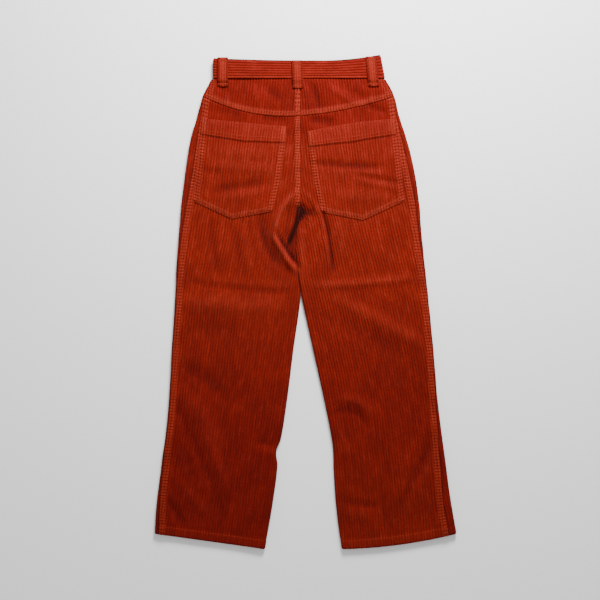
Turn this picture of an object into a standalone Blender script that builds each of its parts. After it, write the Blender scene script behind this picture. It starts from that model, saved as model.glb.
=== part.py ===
"""Corduroy trousers laid flat on their front, back up: each cut piece is its own solid.

+Y runs from the hems to the waist, +X to the wearer's right and +Z up.
The surface that the trousers rest on is z = 0. Tables and functions work in millimetres,
and only the meshes are in metres.
"""

import math

import bpy
import bmesh

MM = 0.001
COLLECTION = "corduroy_trousers"

# Cloth and seams
CLOTH = 2.0            # wall of one layer of wide-wale corduroy, pile included
HEM_WALL = 3.0         # a leg's end, where the hem is turned in and pressed
HEM_DEPTH = 13.0       # height of the turned hem
HEM_FULL = 0.6         # share of that height that has the hem's full wall
SEAM_GAP = 0.3         # clear space between pieces that are sewn together
ROLL_STEPS = 5         # facets round a rolled edge

# Heights of the two layers, where the garment lies on its front
FRONT_LIFT = 2.3       # the front is this high at the waist, over its belt loops
LIFT_START = 278.0     # y where the front starts to rise from the surface
LIFT_END = 318.0       # y where it has reached FRONT_LIFT
EDGE_HEIGHT = 7.4      # top face of the back at its sprung side edges
CENTRE_SAG = 0.9       # how much lower the back lies halfway across
WAIST_RISE = 1.6       # how much higher the back lies at the waist seam
LEAST_AIR = 0.4        # least air between the back and the front

# Centre seam, fork and inseam
FORK_Y = 142.0         # where the centre seam ends and the legs part
CENTRE_X = -8.05       # the centre seam, a little to the left as the garment lies
INSEAM_IN = 6.0        # how far under a leg's inner edge its inseam runs

# Waistband: one strip, doubled, once round and lapped at the centre front
WAIST_Y = 334.0        # the seam between the band and the panels
BAND_DEPTH = 29.0
BAND_WALL = 3.0
BAND_TOP = 10.0        # top face of the band across the back
BAND_LEFT_X = -138.5
BAND_RIGHT_X = 118.0
BAND_RIGHT_LEAN = 7.0  # the right end is this much further in at its top edge
BAND_DIP_X = 20.0      # the top edge is lowest here
BAND_DIP = 2.0
BAND_LEFT_RISE = 3.5   # the top edge climbs this much to the left end
BAND_RIGHT_RISE = 9.0  # and this much to the right end
LAP_WALL = 1.4         # each of the band's ends is pressed to this where they lap
LAP_LEFT_X = -30.0     # the underlap's tip
LAP_RIGHT_X = 14.0     # the overlap's tip
LAP_STEP = 1.0         # the wall changes over this length beside a lapped end

# Yoke, pockets, belt loops and closure
YOKE_RISE = 0.8        # seam allowances lift the yoke's lower edge
PATCH_AIR = 0.6        # air under a patch pocket
POCKET_BAND = 24.0     # the pocket's deep turned top
POCKET_BAND_RISE = 0.7
POCKET_STEP = 0.03     # share of the pocket's depth over which the turned top ends
POCKET_LEVELS = (0.4, 0.6, 0.8, 1.0)    # rows below that, as shares of the depth
LOOP_WIDTH = 16.0
LOOP_STEPS = 8
LOOP_ARCH = 0.8
LOOP_LEAVES = (8.0, 2.0)    # how far below the waist seam a loop starts and ends its climb
BUTTON_RADIUS = 8.0
BUTTON_THICK = 2.0
BUTTON_RIM = 0.5
BUTTON_X = 1.0
FLY_WIDTH = 38.0
FLY_WALL = 1.3
FLY_END_Y = 205.0

CORDUROY = (0.33, 0.030, 0.008)
BUTTON_BROWN = (0.10, 0.035, 0.018)

# The outline of each half, level by level: the inner edge, or the centre seam above the
# fork, the outer edge, and how far in from the outer edge the side seam lies.
OUTLINE_COLUMNS = ("y", "inner", "outer", "side_seam")
LEFT_OUTLINE = (
    (334.0, -8.2, -139.0, 5.0),
    (322.0, -8.2, -146.0, 5.0),
    (306.0, -8.2, -153.5, 5.0),
    (278.0, -8.2, -161.0, 6.0),
    (244.0, -8.2, -171.0, 10.0),
    (205.0, -8.2, -177.5, 11.0),
    (148.0, -8.2, -184.5, 8.0),
    (82.0, -8.2, -190.0, 5.0),
    (6.0, -8.2, -194.0, 5.0),
    (-70.0, -19.0, -199.0, 5.0),
    (-142.0, -28.0, -203.0, 5.0),
    (-205.0, -38.0, -209.0, 5.0),
    (-223.0, -45.0, -212.0, 5.0),
    (-245.0, -43.0, -214.5, 5.0),
    (-300.0, -50.0, -221.5, 5.5),
    (-347.0, -58.0, -225.0, 6.0),
    (-370.0, -62.0, -227.0, 6.0),
)
RIGHT_OUTLINE = (
    (334.0, -7.9, 118.0, 5.0),
    (322.0, -7.9, 125.5, 5.0),
    (306.0, -7.9, 132.5, 5.0),
    (278.0, -7.9, 139.5, 6.0),
    (244.0, -7.9, 150.5, 9.0),
    (205.0, -7.9, 160.5, 10.0),
    (148.0, -7.9, 169.5, 8.0),
    (82.0, -7.9, 175.0, 5.0),
    (6.0, -4.5, 183.0, 5.0),
    (-70.0, 12.0, 190.5, 5.0),
    (-142.0, 28.0, 196.5, 5.5),
    (-205.0, 40.5, 204.0, 7.0),
    (-223.0, 42.5, 206.5, 8.0),
    (-245.0, 43.0, 209.5, 9.0),
    (-300.0, 46.5, 217.0, 10.5),
    (-347.0, 52.0, 225.0, 12.0),
    (-370.0, 56.0, 226.0, 12.0),
)

# Rows across a panel, from its top to its hem: the row's inner and outer end, its bow at
# the middle on the left and right half, and how many steps lead to the next row.
ROW_COLUMNS = ("inner_y", "outer_y", "bow_left", "bow_right", "steps")
BACK_ROWS = (
    (278.0, 307.0, -10.0, -4.0, 2),
    (240.0, 252.0, -3.0, -1.0, 2),
    (205.0, 208.0, 0.0, 0.0, 3),
    (142.0, 148.0, 0.0, 0.0, 4),
    (82.0, 84.0, 0.0, 0.0, 3),
    (40.0, 42.0, 0.0, 0.0, 4),
    (6.0, 8.0, 0.0, 0.0, 3),
    (-70.0, -66.0, 0.0, 0.0, 3),
    (-142.0, -138.0, 0.0, 0.0, 3),
    (-205.0, -198.0, 0.0, 0.0, 1),
    (-223.0, -216.0, 0.0, 0.0, 1),
    (-245.0, -238.0, 0.0, 0.0, 2),
    (-300.0, -288.0, 0.0, 0.0, 2),
    (-357.0, -334.0, 0.0, -4.5, 1),
    (-370.0, -347.0, 0.0, -5.0, 0),
)
FRONT_ROWS = (
    (334.0, 334.0, 0.0, 0.0, 1),
    (318.0, 318.0, 0.0, 0.0, 1),
    *BACK_ROWS[:2],
    (205.0, 208.0, 0.0, 0.0, 2),
    (163.0, 168.0, 0.0, 0.0, 1),
    (150.0, 155.0, 0.0, 0.0, 1),
    (142.3, 148.0, 0.0, 0.0, 4),
    *BACK_ROWS[4:],
)

# The largest folds of the back layer: a soft ridge, or a trough where the height is
# negative, along a chord with a bow to its left.
FOLD_COLUMNS = ("name", "x0", "y0", "x1", "y1", "bow", "width", "height")
FOLDS = (
    ("left cross crease", -176.0, 38.0, -10.0, 17.0, -5.0, 6.0, -1.6),
    ("left cross ridge", -170.0, 50.0, -20.0, 29.0, -5.0, 9.0, 1.4),
    ("right cross ridge", 0.0, 23.0, 144.0, 28.0, 0.0, 8.0, 2.0),
    ("right cross trough", 6.0, 9.0, 130.0, 13.0, 0.0, 10.0, -1.0),
    ("left fork ridge", -50.0, 104.0, -12.0, 42.0, -6.0, 9.0, 3.2),
    ("left fork trough", -30.0, 128.0, -12.0, 70.0, -2.0, 9.0, -1.6),
    ("left thigh ridge", -38.0, 146.0, -48.0, 98.0, 0.0, 9.0, 1.8),
    ("left thigh trough", -62.0, 134.0, -62.0, 74.0, 0.0, 12.0, -1.4),
    ("right thigh trough", 26.0, 122.0, 40.0, 42.0, 0.0, 9.0, -1.6),
    ("right thigh ridge", 13.0, 128.0, 24.0, 44.0, 0.0, 10.0, 1.6),
    ("left knee trough", -186.0, -100.0, -110.0, -150.0, 0.0, 18.0, -1.2),
    ("left shin ridge", -157.0, -190.0, -124.0, -300.0, 0.0, 14.0, 1.8),
    ("left shin trough", -176.0, -205.0, -148.0, -300.0, 0.0, 12.0, -1.0),
    ("left notch crease", -86.0, -208.0, -50.0, -214.0, 0.0, 8.0, -1.4),
    ("right knee trough", 34.0, -26.0, 86.0, -36.0, 0.0, 14.0, -1.2),
    ("right knee ridge", 104.0, -26.0, 146.0, -66.0, 0.0, 14.0, 1.2),
    ("right shin trough", 36.0, -154.0, 80.0, -172.0, 0.0, 14.0, -1.2),
)

# Patch pockets: corners in order round the pocket, and the bows of the top and sides.
POCKET_COLUMNS = ("half", "top_in", "top_out", "low_out", "point", "low_in",
                  "top_bow", "in_bow", "out_bow")
POCKETS = (
    ("left", (-28.5, 262.5), (-154.5, 274.5), (-168.5, 150.5), (-110.5, 123.5),
     (-49.5, 135.0), 0.0, 4.0, 0.0),
    ("right", (3.0, 255.0), (133.0, 274.0), (148.5, 150.5), (86.0, 121.5),
     (24.0, 134.0), 3.0, -3.5, 1.5),
)

# Belt loops: where each one is at its top and its foot, and which layer it is sewn to.
LOOP_COLUMNS = ("name", "layer", "top_x", "foot_x", "top_y", "foot_y")
LOOPS = (
    ("loop_back_left", "back", -123.7, -123.7, 365.6, 321.5),
    ("loop_back_centre", "back", -13.0, -11.2, 361.2, 319.0),
    ("loop_back_right", "back", 97.5, 102.0, 366.8, 322.0),
    ("loop_front_left", "front", -75.0, -76.0, 361.0, 319.0),
    ("loop_front_right", "front", 57.0, 58.0, 361.0, 319.0),
)

HALVES = {"left": LEFT_OUTLINE, "right": RIGHT_OUTLINE}


def row_dict(columns, row):
    return dict(zip(columns, row))


def mix(start, end, share):
    return start + (end - start) * share


def mix_point(start, end, share):
    return tuple(mix(a, b, share) for a, b in zip(start, end))


def arch(share):
    """1 halfway, 0 at both ends."""
    return 4.0 * share * (1.0 - share)


def soft_step(low, high, value):
    share = min(1.0, max(0.0, (value - low) / (high - low)))
    return share * share * (3.0 - 2.0 * share)


# ---------------------------------------------------------------- plan and heights

def outline_at(half, column, y):
    """Value of an outline column at level y, smooth between the table's levels."""
    rows = HALVES[half]
    index = OUTLINE_COLUMNS.index(column)
    y = min(rows[0][0], max(rows[-1][0], y))
    span = next(i for i in range(len(rows) - 1) if y >= rows[i + 1][0])

    def slope(i):
        before = rows[max(0, i - 1)]
        after = rows[min(len(rows) - 1, i + 1)]
        return (after[index] - before[index]) / (after[0] - before[0])

    upper, lower = rows[span], rows[span + 1]
    run = lower[0] - upper[0]
    t = (y - upper[0]) / run
    return ((2 * t ** 3 - 3 * t ** 2 + 1) * upper[index]
            + (t ** 3 - 2 * t ** 2 + t) * run * slope(span)
            + (3 * t ** 2 - 2 * t ** 3) * lower[index]
            + (t ** 3 - t ** 2) * run * slope(span + 1))


def under_height(y):
    """Outer face of the front layer, which faces down."""
    ramp = (y - LIFT_START) / (LIFT_END - LIFT_START)
    return FRONT_LIFT * min(1.0, max(0.0, ramp))


def fold_height(x, y):
    total = 0.0
    for row in FOLDS:
        fold = row_dict(FOLD_COLUMNS, row)
        run_x = fold["x1"] - fold["x0"]
        run_y = fold["y1"] - fold["y0"]
        length = math.hypot(run_x, run_y)
        along = ((x - fold["x0"]) * run_x + (y - fold["y0"]) * run_y) / length ** 2
        across = ((y - fold["y0"]) * run_x - (x - fold["x0"]) * run_y) / length
        across -= fold["bow"] * arch(min(1.0, max(0.0, along)))
        fade = soft_step(-0.1, 0.15, along) * (1.0 - soft_step(0.85, 1.1, along))
        total += fold["height"] * fade * math.exp(-(across / fold["width"]) ** 2)
    return total


def top_height(half, x, y):
    """Outer face of the back layer, which faces up."""
    inner = outline_at(half, "inner", y)
    outer = outline_at(half, "outer", y)
    share = min(1.0, max(0.0, (x - inner) / (outer - inner)))
    height = EDGE_HEIGHT - CENTRE_SAG * arch(share) + fold_height(x, y)
    height += WAIST_RISE * soft_step(LIFT_START, LIFT_END, y)
    lowest = under_height(y) + 2.0 * CLOTH + LEAST_AIR
    return max(lowest, height)


def panel_rows(table, half):
    """Each row as its inner end, its outer end and its bow, with the steps filled in."""
    rows = []
    for upper, lower in zip(table, table[1:]):
        first = row_dict(ROW_COLUMNS, upper)
        last = row_dict(ROW_COLUMNS, lower)
        for step in range(first["steps"]):
            share = step / first["steps"]
            rows.append(tuple(mix(first[key], last[key], share)
                              for key in ("inner_y", "outer_y", "bow_" + half)))
    end = row_dict(ROW_COLUMNS, table[-1])
    rows.append((end["inner_y"], end["outer_y"], end["bow_" + half]))
    return rows


class Section:
    """One row across a half: points at a distance in from its inner edge."""

    def __init__(self, half, row):
        self.half = half
        inner_y, outer_y, self.bow = row
        self.inner = (outline_at(half, "inner", inner_y), inner_y)
        self.outer = (outline_at(half, "outer", outer_y), outer_y)
        self.width = math.dist(self.inner, self.outer)
        self.seam = self.width - outline_at(half, "side_seam", outer_y)
        self.parted = inner_y <= FORK_Y + SEAM_GAP
        self.inner_roll = self.roll_radius(0.0)
        self.outer_roll = self.roll_radius(self.width)

    def plan(self, distance):
        share = distance / self.width
        x, y = mix_point(self.inner, self.outer, share)
        return x, y + self.bow * arch(min(1.0, max(0.0, share)))

    def roll_radius(self, edge):
        nominal = EDGE_HEIGHT / 2.0
        inside = nominal if edge == 0.0 else edge - nominal
        x, y = self.plan(inside)
        return (top_height(self.half, x, y) - under_height(y)) / 2.0

    def top(self, distance, rise=0.0):
        x, y = self.plan(distance)
        return x, y, top_height(self.half, x, y) + rise

    def under(self, distance):
        x, y = self.plan(distance)
        return x, y, under_height(y)

    def roll(self, at_inner, step):
        """A point on the rolled edge, from the top face (step 0) to the underside."""
        turn = math.pi * (0.5 - step / ROLL_STEPS)
        radius = self.inner_roll if at_inner else self.outer_roll
        centre = radius if at_inner else self.width - radius
        reach = -math.cos(turn) if at_inner else math.cos(turn)
        x, y = self.plan(centre + radius * reach)
        return x, y, under_height(y) + radius * (1.0 + math.sin(turn))


# ---------------------------------------------------------------- meshes and objects

def clear_scene():
    for obj in list(bpy.data.objects):
        bpy.data.objects.remove(obj, do_unlink=True)


def make_material(name, colour, roughness):
    material = bpy.data.materials.new(name)
    material.use_nodes = True
    shader = material.node_tree.nodes["Principled BSDF"]
    shader.inputs["Base Color"].default_value = (*colour, 1.0)
    shader.inputs["Roughness"].default_value = roughness
    shader.inputs["Metallic"].default_value = 0.0
    return material


def finish_object(name, mesh, collection, colour=CORDUROY, roughness=0.95):
    mesh.materials.append(make_material(name + "_material", colour, roughness))
    mesh.shade_smooth()
    mesh.set_sharp_from_angle(angle=math.radians(40.0))
    obj = bpy.data.objects.new(name, mesh)
    collection.objects.link(obj)
    return obj


def sheet_mesh(name, rows, faces_up):
    """An open sheet through rows of points; a row may leave out its last columns."""
    bm = bmesh.new()
    grid = [[bm.verts.new([value * MM for value in point]) for point in row] for row in rows]
    for upper, lower in zip(grid, grid[1:]):
        for column in range(min(len(upper), len(lower)) - 1):
            corners = [upper[column], lower[column], lower[column + 1], upper[column + 1]]
            bm.faces.new(corners if faces_up else corners[::-1])
    loose = [vert for vert in bm.verts if not vert.link_faces]
    bmesh.ops.delete(bm, geom=loose, context="VERTS")
    mesh = bpy.data.meshes.new(name)
    bm.to_mesh(mesh)
    bm.free()
    return mesh


def thicken(obj, wall):
    """The wall goes inwards from the outer face that the sheet gives."""
    solidify = obj.modifiers.new("wall", "SOLIDIFY")
    solidify.thickness = wall * MM
    solidify.offset = -1.0
    solidify.use_even_offset = True
    return solidify


def thin_by_group(obj, solidify, thin_share, keep_full):
    """Every vertex has the thin share of the wall, except those that keep_full picks."""
    group = obj.vertex_groups.new(name="wall")
    for vert in obj.data.vertices:
        full = keep_full(vert.co / MM)
        group.add([vert.index], 1.0 if full else thin_share, "REPLACE")
    solidify.vertex_group = group.name


# ---------------------------------------------------------------- the pieces

def hem_line(half, x):
    """Level of a leg's edge below x, without the bow."""
    hem = row_dict(ROW_COLUMNS, BACK_ROWS[-1])
    inner_x = outline_at(half, "inner", hem["inner_y"])
    outer_x = outline_at(half, "outer", hem["outer_y"])
    return mix(hem["inner_y"], hem["outer_y"], (x - inner_x) / (outer_x - inner_x))


def add_hem(obj, half):
    solidify = thicken(obj, HEM_WALL)
    limit = HEM_DEPTH * HEM_FULL
    thin_by_group(obj, solidify, CLOTH / HEM_WALL,
                  lambda spot: spot.y < hem_line(half, spot.x) + limit)


def add_back(half, collection, columns=13):
    """Leg back: from the yoke seam to the hem, over the inner edge to the inseam."""
    rows = []
    for row in panel_rows(BACK_ROWS, half):
        section = Section(half, row)
        end = section.seam - SEAM_GAP / 2
        start = section.inner_roll if section.parted else SEAM_GAP / 2
        points = [section.top(mix(end, start, i / columns)) for i in range(columns + 1)]
        if section.parted:
            points += [section.roll(True, step) for step in range(1, ROLL_STEPS + 1)]
            points.append(section.under(section.inner_roll + INSEAM_IN))
        rows.append(points)
    mesh = sheet_mesh("back_" + half, rows, half == "left")
    obj = finish_object("back_" + half, mesh, collection)
    add_hem(obj, half)


def add_front(half, collection, columns=3):
    """Leg front: the flat underside, round the outer edge to the side seam on top."""
    rows = []
    for row in panel_rows(FRONT_ROWS, half):
        section = Section(half, row)
        parted_start = section.inner_roll + INSEAM_IN + SEAM_GAP
        start = parted_start if section.parted else SEAM_GAP / 2
        end = section.width - section.outer_roll
        points = [section.under(mix(start, end, i / columns)) for i in range(columns)]
        points += [section.roll(False, ROLL_STEPS - step) for step in range(ROLL_STEPS + 1)]
        points.append(section.top(section.seam + SEAM_GAP / 2))
        rows.append(points)
    rows[0] = [(x, y - SEAM_GAP / 2, z) for x, y, z in rows[0]]
    mesh = sheet_mesh("front_" + half, rows, half == "left")
    obj = finish_object("front_" + half, mesh, collection)
    add_hem(obj, half)


def add_yoke(half, collection, columns=12, steps=3):
    """Yoke: from the waist seam to the yoke seam, raised along its lower edge."""
    seam_row = row_dict(ROW_COLUMNS, BACK_ROWS[0])
    seam = (seam_row["inner_y"], seam_row["outer_y"], seam_row["bow_" + half])
    waist = (WAIST_Y, WAIST_Y, 0.0)
    rows = []
    for step in range(steps + 1):
        share = step / steps
        section = Section(half, mix_point(waist, seam, share))
        start, end = SEAM_GAP / 2, section.seam - SEAM_GAP / 2
        # A gap is left to the waistband above and, at the last row, to the leg back below.
        shift = -SEAM_GAP / 2 if step == 0 else SEAM_GAP * share
        row = [section.top(mix(end, start, i / columns), YOKE_RISE * share)
               for i in range(columns + 1)]
        rows.append([(x, y + shift, z) for x, y, z in row])
    mesh = sheet_mesh("yoke_" + half, rows, half == "left")
    thicken(finish_object("yoke_" + half, mesh, collection), CLOTH)


def pocket_point(pocket, u, v):
    """Plan point of a pocket: u from its inner to its outer side, v down to its point."""
    top = mix_point(pocket["top_in"], pocket["top_out"], u)
    if u < 0.5:
        low = mix_point(pocket["low_in"], pocket["point"], u * 2.0)
    else:
        low = mix_point(pocket["point"], pocket["low_out"], u * 2.0 - 1.0)
    x, y = mix_point(top, low, v)
    x += arch(v) * mix(pocket["in_bow"], pocket["out_bow"], u)
    y += arch(u) * (1.0 - v) * pocket["top_bow"]
    return x, y


def add_pocket(row, collection, columns=10):
    """Patch pocket on the back panel, thicker along its turned top."""
    pocket = row_dict(POCKET_COLUMNS, row)
    half = pocket["half"]
    depth = pocket["top_in"][1] - pocket["low_in"][1]
    band = POCKET_BAND / depth
    levels = (0.0, band * 0.5, band, band + POCKET_STEP, *POCKET_LEVELS)
    rows = []
    for v in levels:
        rise = CLOTH + PATCH_AIR + (POCKET_BAND_RISE if v <= band else 0.0)
        row_points = []
        for i in range(columns + 1):
            x, y = pocket_point(pocket, 1.0 - i / columns, v)
            row_points.append((x, y, top_height(half, x, y) + rise))
        rows.append(row_points)
    mesh = sheet_mesh("pocket_" + half, rows, half == "left")
    thicken(finish_object("pocket_" + half, mesh, collection), CLOTH)


def band_top_y(x):
    """Upper edge of the waistband."""
    if x < BAND_DIP_X:
        rise = BAND_LEFT_RISE * ((x - BAND_DIP_X) / (BAND_LEFT_X - BAND_DIP_X)) ** 2
    else:
        right = BAND_RIGHT_X - BAND_RIGHT_LEAN
        rise = BAND_RIGHT_RISE * ((x - BAND_DIP_X) / (right - BAND_DIP_X)) ** 2
    return WAIST_Y + BAND_DEPTH - BAND_DIP + rise


def band_path(share):
    """Outer face of the band once round, at a share of its depth: (x, z) points."""
    left = BAND_LEFT_X
    right = BAND_RIGHT_X - BAND_RIGHT_LEAN * share
    radius = (BAND_TOP - FRONT_LIFT) / 2.0
    middle = (BAND_TOP + FRONT_LIFT) / 2.0
    lap_z = FRONT_LIFT + LAP_WALL + SEAM_GAP
    left_in, right_in = left + radius, right - radius
    path = [(LAP_RIGHT_X, FRONT_LIFT), (LAP_LEFT_X - LAP_STEP, FRONT_LIFT),
            (LAP_LEFT_X - 2.0 * LAP_STEP, FRONT_LIFT)]
    path += [(mix(LAP_LEFT_X, left_in, i / 4), FRONT_LIFT) for i in range(1, 4)]
    for step in range(ROLL_STEPS + 1):
        turn = math.pi * (step / ROLL_STEPS - 0.5)
        path.append((left_in - radius * math.cos(turn), middle + radius * math.sin(turn)))
    path += [(mix(left_in, right_in, i / 12), BAND_TOP) for i in range(1, 12)]
    for step in range(ROLL_STEPS + 1):
        turn = math.pi * (0.5 - step / ROLL_STEPS)
        path.append((right_in + radius * math.cos(turn), middle + radius * math.sin(turn)))
    path += [(mix(right_in, LAP_RIGHT_X, i / 4), FRONT_LIFT) for i in range(1, 4)]
    path += [(LAP_RIGHT_X + 2.0 * LAP_STEP, FRONT_LIFT), (LAP_RIGHT_X + LAP_STEP, lap_z),
             (LAP_LEFT_X, lap_z)]
    return path


def add_waistband(collection, steps=2):
    """Waistband: a doubled strip once round the waist, its ends lapped at the front."""
    rows = []
    for step in range(steps + 1):
        share = 1.0 - step / steps
        bottom = WAIST_Y + SEAM_GAP / 2
        rows.append([(x, mix(bottom, band_top_y(x), share), z) for x, z in band_path(share)])
    mesh = sheet_mesh("waistband", rows, True)
    obj = finish_object("waistband", mesh, collection)
    solidify = thicken(obj, BAND_WALL)
    underside = (FRONT_LIFT + BAND_TOP) / 2.0
    thin_by_group(obj, solidify, LAP_WALL / BAND_WALL,
                  lambda spot: (spot.z > underside or spot.x > LAP_RIGHT_X + 1.5 * LAP_STEP
                                or spot.x < LAP_LEFT_X - 1.5 * LAP_STEP))


def back_loop_height(x, y, share):
    """Outer face of a back loop: arched over the band, then down on the yoke."""
    half = "left" if x < CENTRE_X else "right"
    over_band = BAND_TOP + SEAM_GAP + CLOTH + LOOP_ARCH * arch(share)
    on_yoke = top_height(half, x, y) + YOKE_RISE + PATCH_AIR + CLOTH
    start, end = (WAIST_Y - below for below in LOOP_LEAVES)
    return mix(on_yoke, over_band, soft_step(start, end, y))


def add_loop(row, collection):
    """Belt loop: a flat strip sewn down at its top and foot."""
    loop = row_dict(LOOP_COLUMNS, row)
    rows = []
    for step in range(LOOP_STEPS + 1):
        share = step / LOOP_STEPS
        y = mix(loop["top_y"], loop["foot_y"], share)
        middle = mix(loop["top_x"], loop["foot_x"], share)
        row_points = []
        for side in (-0.5, 0.0, 0.5):
            x = middle + side * LOOP_WIDTH
            z = back_loop_height(middle, y, share) if loop["layer"] == "back" else 0.0
            row_points.append((x, y, z))
        rows.append(row_points)
    mesh = sheet_mesh(loop["name"], rows, loop["layer"] == "back")
    thicken(finish_object(loop["name"], mesh, collection), CLOTH)


def add_fly(collection):
    """Fly shield: a strip inside the front, behind the opening, under the waistband."""
    left = CENTRE_X - FLY_WIDTH / 2
    right = CENTRE_X + FLY_WIDTH / 2
    levels = (WAIST_Y - SEAM_GAP, LIFT_END, LIFT_START, 248.0, FLY_END_Y)
    inside = CLOTH + 2.0 * SEAM_GAP
    rows = [[(x, y, under_height(y) + inside) for x in (left, CENTRE_X, right)]
            for y in levels]
    mesh = sheet_mesh("fly", rows, False)
    thicken(finish_object("fly", mesh, collection), FLY_WALL)


def add_button(collection):
    """Sew-through button on the lapped end of the waistband, facing down."""
    bm = bmesh.new()
    bmesh.ops.create_cone(bm, cap_ends=True, segments=32, radius1=BUTTON_RADIUS * MM,
                          radius2=BUTTON_RADIUS * MM, depth=BUTTON_THICK * MM)
    mesh = bpy.data.meshes.new("button")
    bm.to_mesh(mesh)
    bm.free()
    obj = finish_object("button", mesh, collection, BUTTON_BROWN, 0.4)
    middle_y = WAIST_Y + (BAND_DEPTH - BAND_DIP) / 2.0
    obj.location = (BUTTON_X * MM, middle_y * MM, BUTTON_THICK / 2.0 * MM)
    bevel = obj.modifiers.new("round_rim", "BEVEL")
    bevel.width = BUTTON_RIM * MM
    bevel.segments = 2


def build_trousers():
    clear_scene()
    collection = bpy.data.collections.new(COLLECTION)
    bpy.context.scene.collection.children.link(collection)
    for half in HALVES:
        add_back(half, collection)
        add_front(half, collection)
        add_yoke(half, collection)
    for row in POCKETS:
        add_pocket(row, collection)
    add_waistband(collection)
    for row in LOOPS:
        add_loop(row, collection)
    add_fly(collection)
    add_button(collection)


build_trousers()
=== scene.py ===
# %% [markdown]
# # Corduroy trousers, laid flat
#
# A pair of child's trousers in wide-wale corduroy lies on its front on a pale floor, and we look
# straight down on its back. Each cut piece becomes a thin shell with its own wales: two leg backs,
# two leg fronts, two yokes, two patch pockets, a waistband, five belt loops and a fly shield.
# Thread and one button go on last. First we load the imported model, which fixes where all is.

# %% Load the fixed frame
import functools
import math

import bpy
import numpy as np
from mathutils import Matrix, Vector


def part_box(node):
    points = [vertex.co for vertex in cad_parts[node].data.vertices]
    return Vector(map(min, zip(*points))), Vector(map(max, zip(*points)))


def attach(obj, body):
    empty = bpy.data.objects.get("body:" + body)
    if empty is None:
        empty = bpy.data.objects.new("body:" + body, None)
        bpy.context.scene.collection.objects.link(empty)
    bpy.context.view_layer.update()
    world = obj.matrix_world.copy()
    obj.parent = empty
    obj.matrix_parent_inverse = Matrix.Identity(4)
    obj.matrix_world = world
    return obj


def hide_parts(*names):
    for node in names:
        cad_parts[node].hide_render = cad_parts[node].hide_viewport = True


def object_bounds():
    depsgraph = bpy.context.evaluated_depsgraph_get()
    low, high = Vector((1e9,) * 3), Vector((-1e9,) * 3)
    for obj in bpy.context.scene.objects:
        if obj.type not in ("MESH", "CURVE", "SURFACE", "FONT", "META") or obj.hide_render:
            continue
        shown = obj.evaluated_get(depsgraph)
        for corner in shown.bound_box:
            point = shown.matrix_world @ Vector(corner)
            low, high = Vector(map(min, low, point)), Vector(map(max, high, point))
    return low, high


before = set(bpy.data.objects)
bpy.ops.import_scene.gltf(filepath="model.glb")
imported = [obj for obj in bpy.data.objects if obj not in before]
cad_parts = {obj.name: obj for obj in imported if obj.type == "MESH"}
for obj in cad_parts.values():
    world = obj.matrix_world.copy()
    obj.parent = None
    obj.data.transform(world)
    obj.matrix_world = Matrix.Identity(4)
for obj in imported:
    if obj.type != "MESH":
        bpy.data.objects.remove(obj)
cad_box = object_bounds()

MM = 0.001
rng = np.random.default_rng(11)
print("nodes to dress:", len(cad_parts))

# %% [markdown]
# ## Sizes of the cloth
#
# Corduroy is named by its wales, the raised ribs of cut pile. Six to the inch is a wide wale.
# A rib is round on top with a narrow groove at each side, so we sample each one with six columns
# that are closer together at the groove. A bump map alone would be lighter, but ribs that are
# real relief also show at the edges. All tables are in millimetres, as in a cutting room.

# %% Cloth sizes
WALE = 4.1             # from groove to groove
BAND_WALE = 3.85       # the waistband's wales are stretched a little thinner lengthwise
WALE_DEPTH = 0.85      # from a rib's crest to its groove
RIB_SAMPLES = (0.0, 0.13, 0.3, 0.5, 0.7, 0.87)
COARSE_SAMPLES = (0.0, 0.22, 0.5, 0.78)
CLOTH = 1.9            # wall of one layer, crest to back
HEM_WALL = 3.0         # the turned hem
SEAM_GAP = 0.06        # pieces touch where they are sewn; this keeps their meshes apart
STITCH = 4.6           # topstitch pitch
print("wales in 100 mm:", round(100 / WALE, 1))

# %% [markdown]
# ## The outline of each half
#
# Laid flat, each half is a leg with half of the seat. Reading its edges level by level is how a
# cutter checks a garment against its pattern. A drawn curve could hold the outline too, but a
# table of levels also tells each row of cloth where its two ends are. Above the fork, the inner
# column is the centre seam. `seam_in` is how far the side seam has rolled in from the outer edge.

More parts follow.
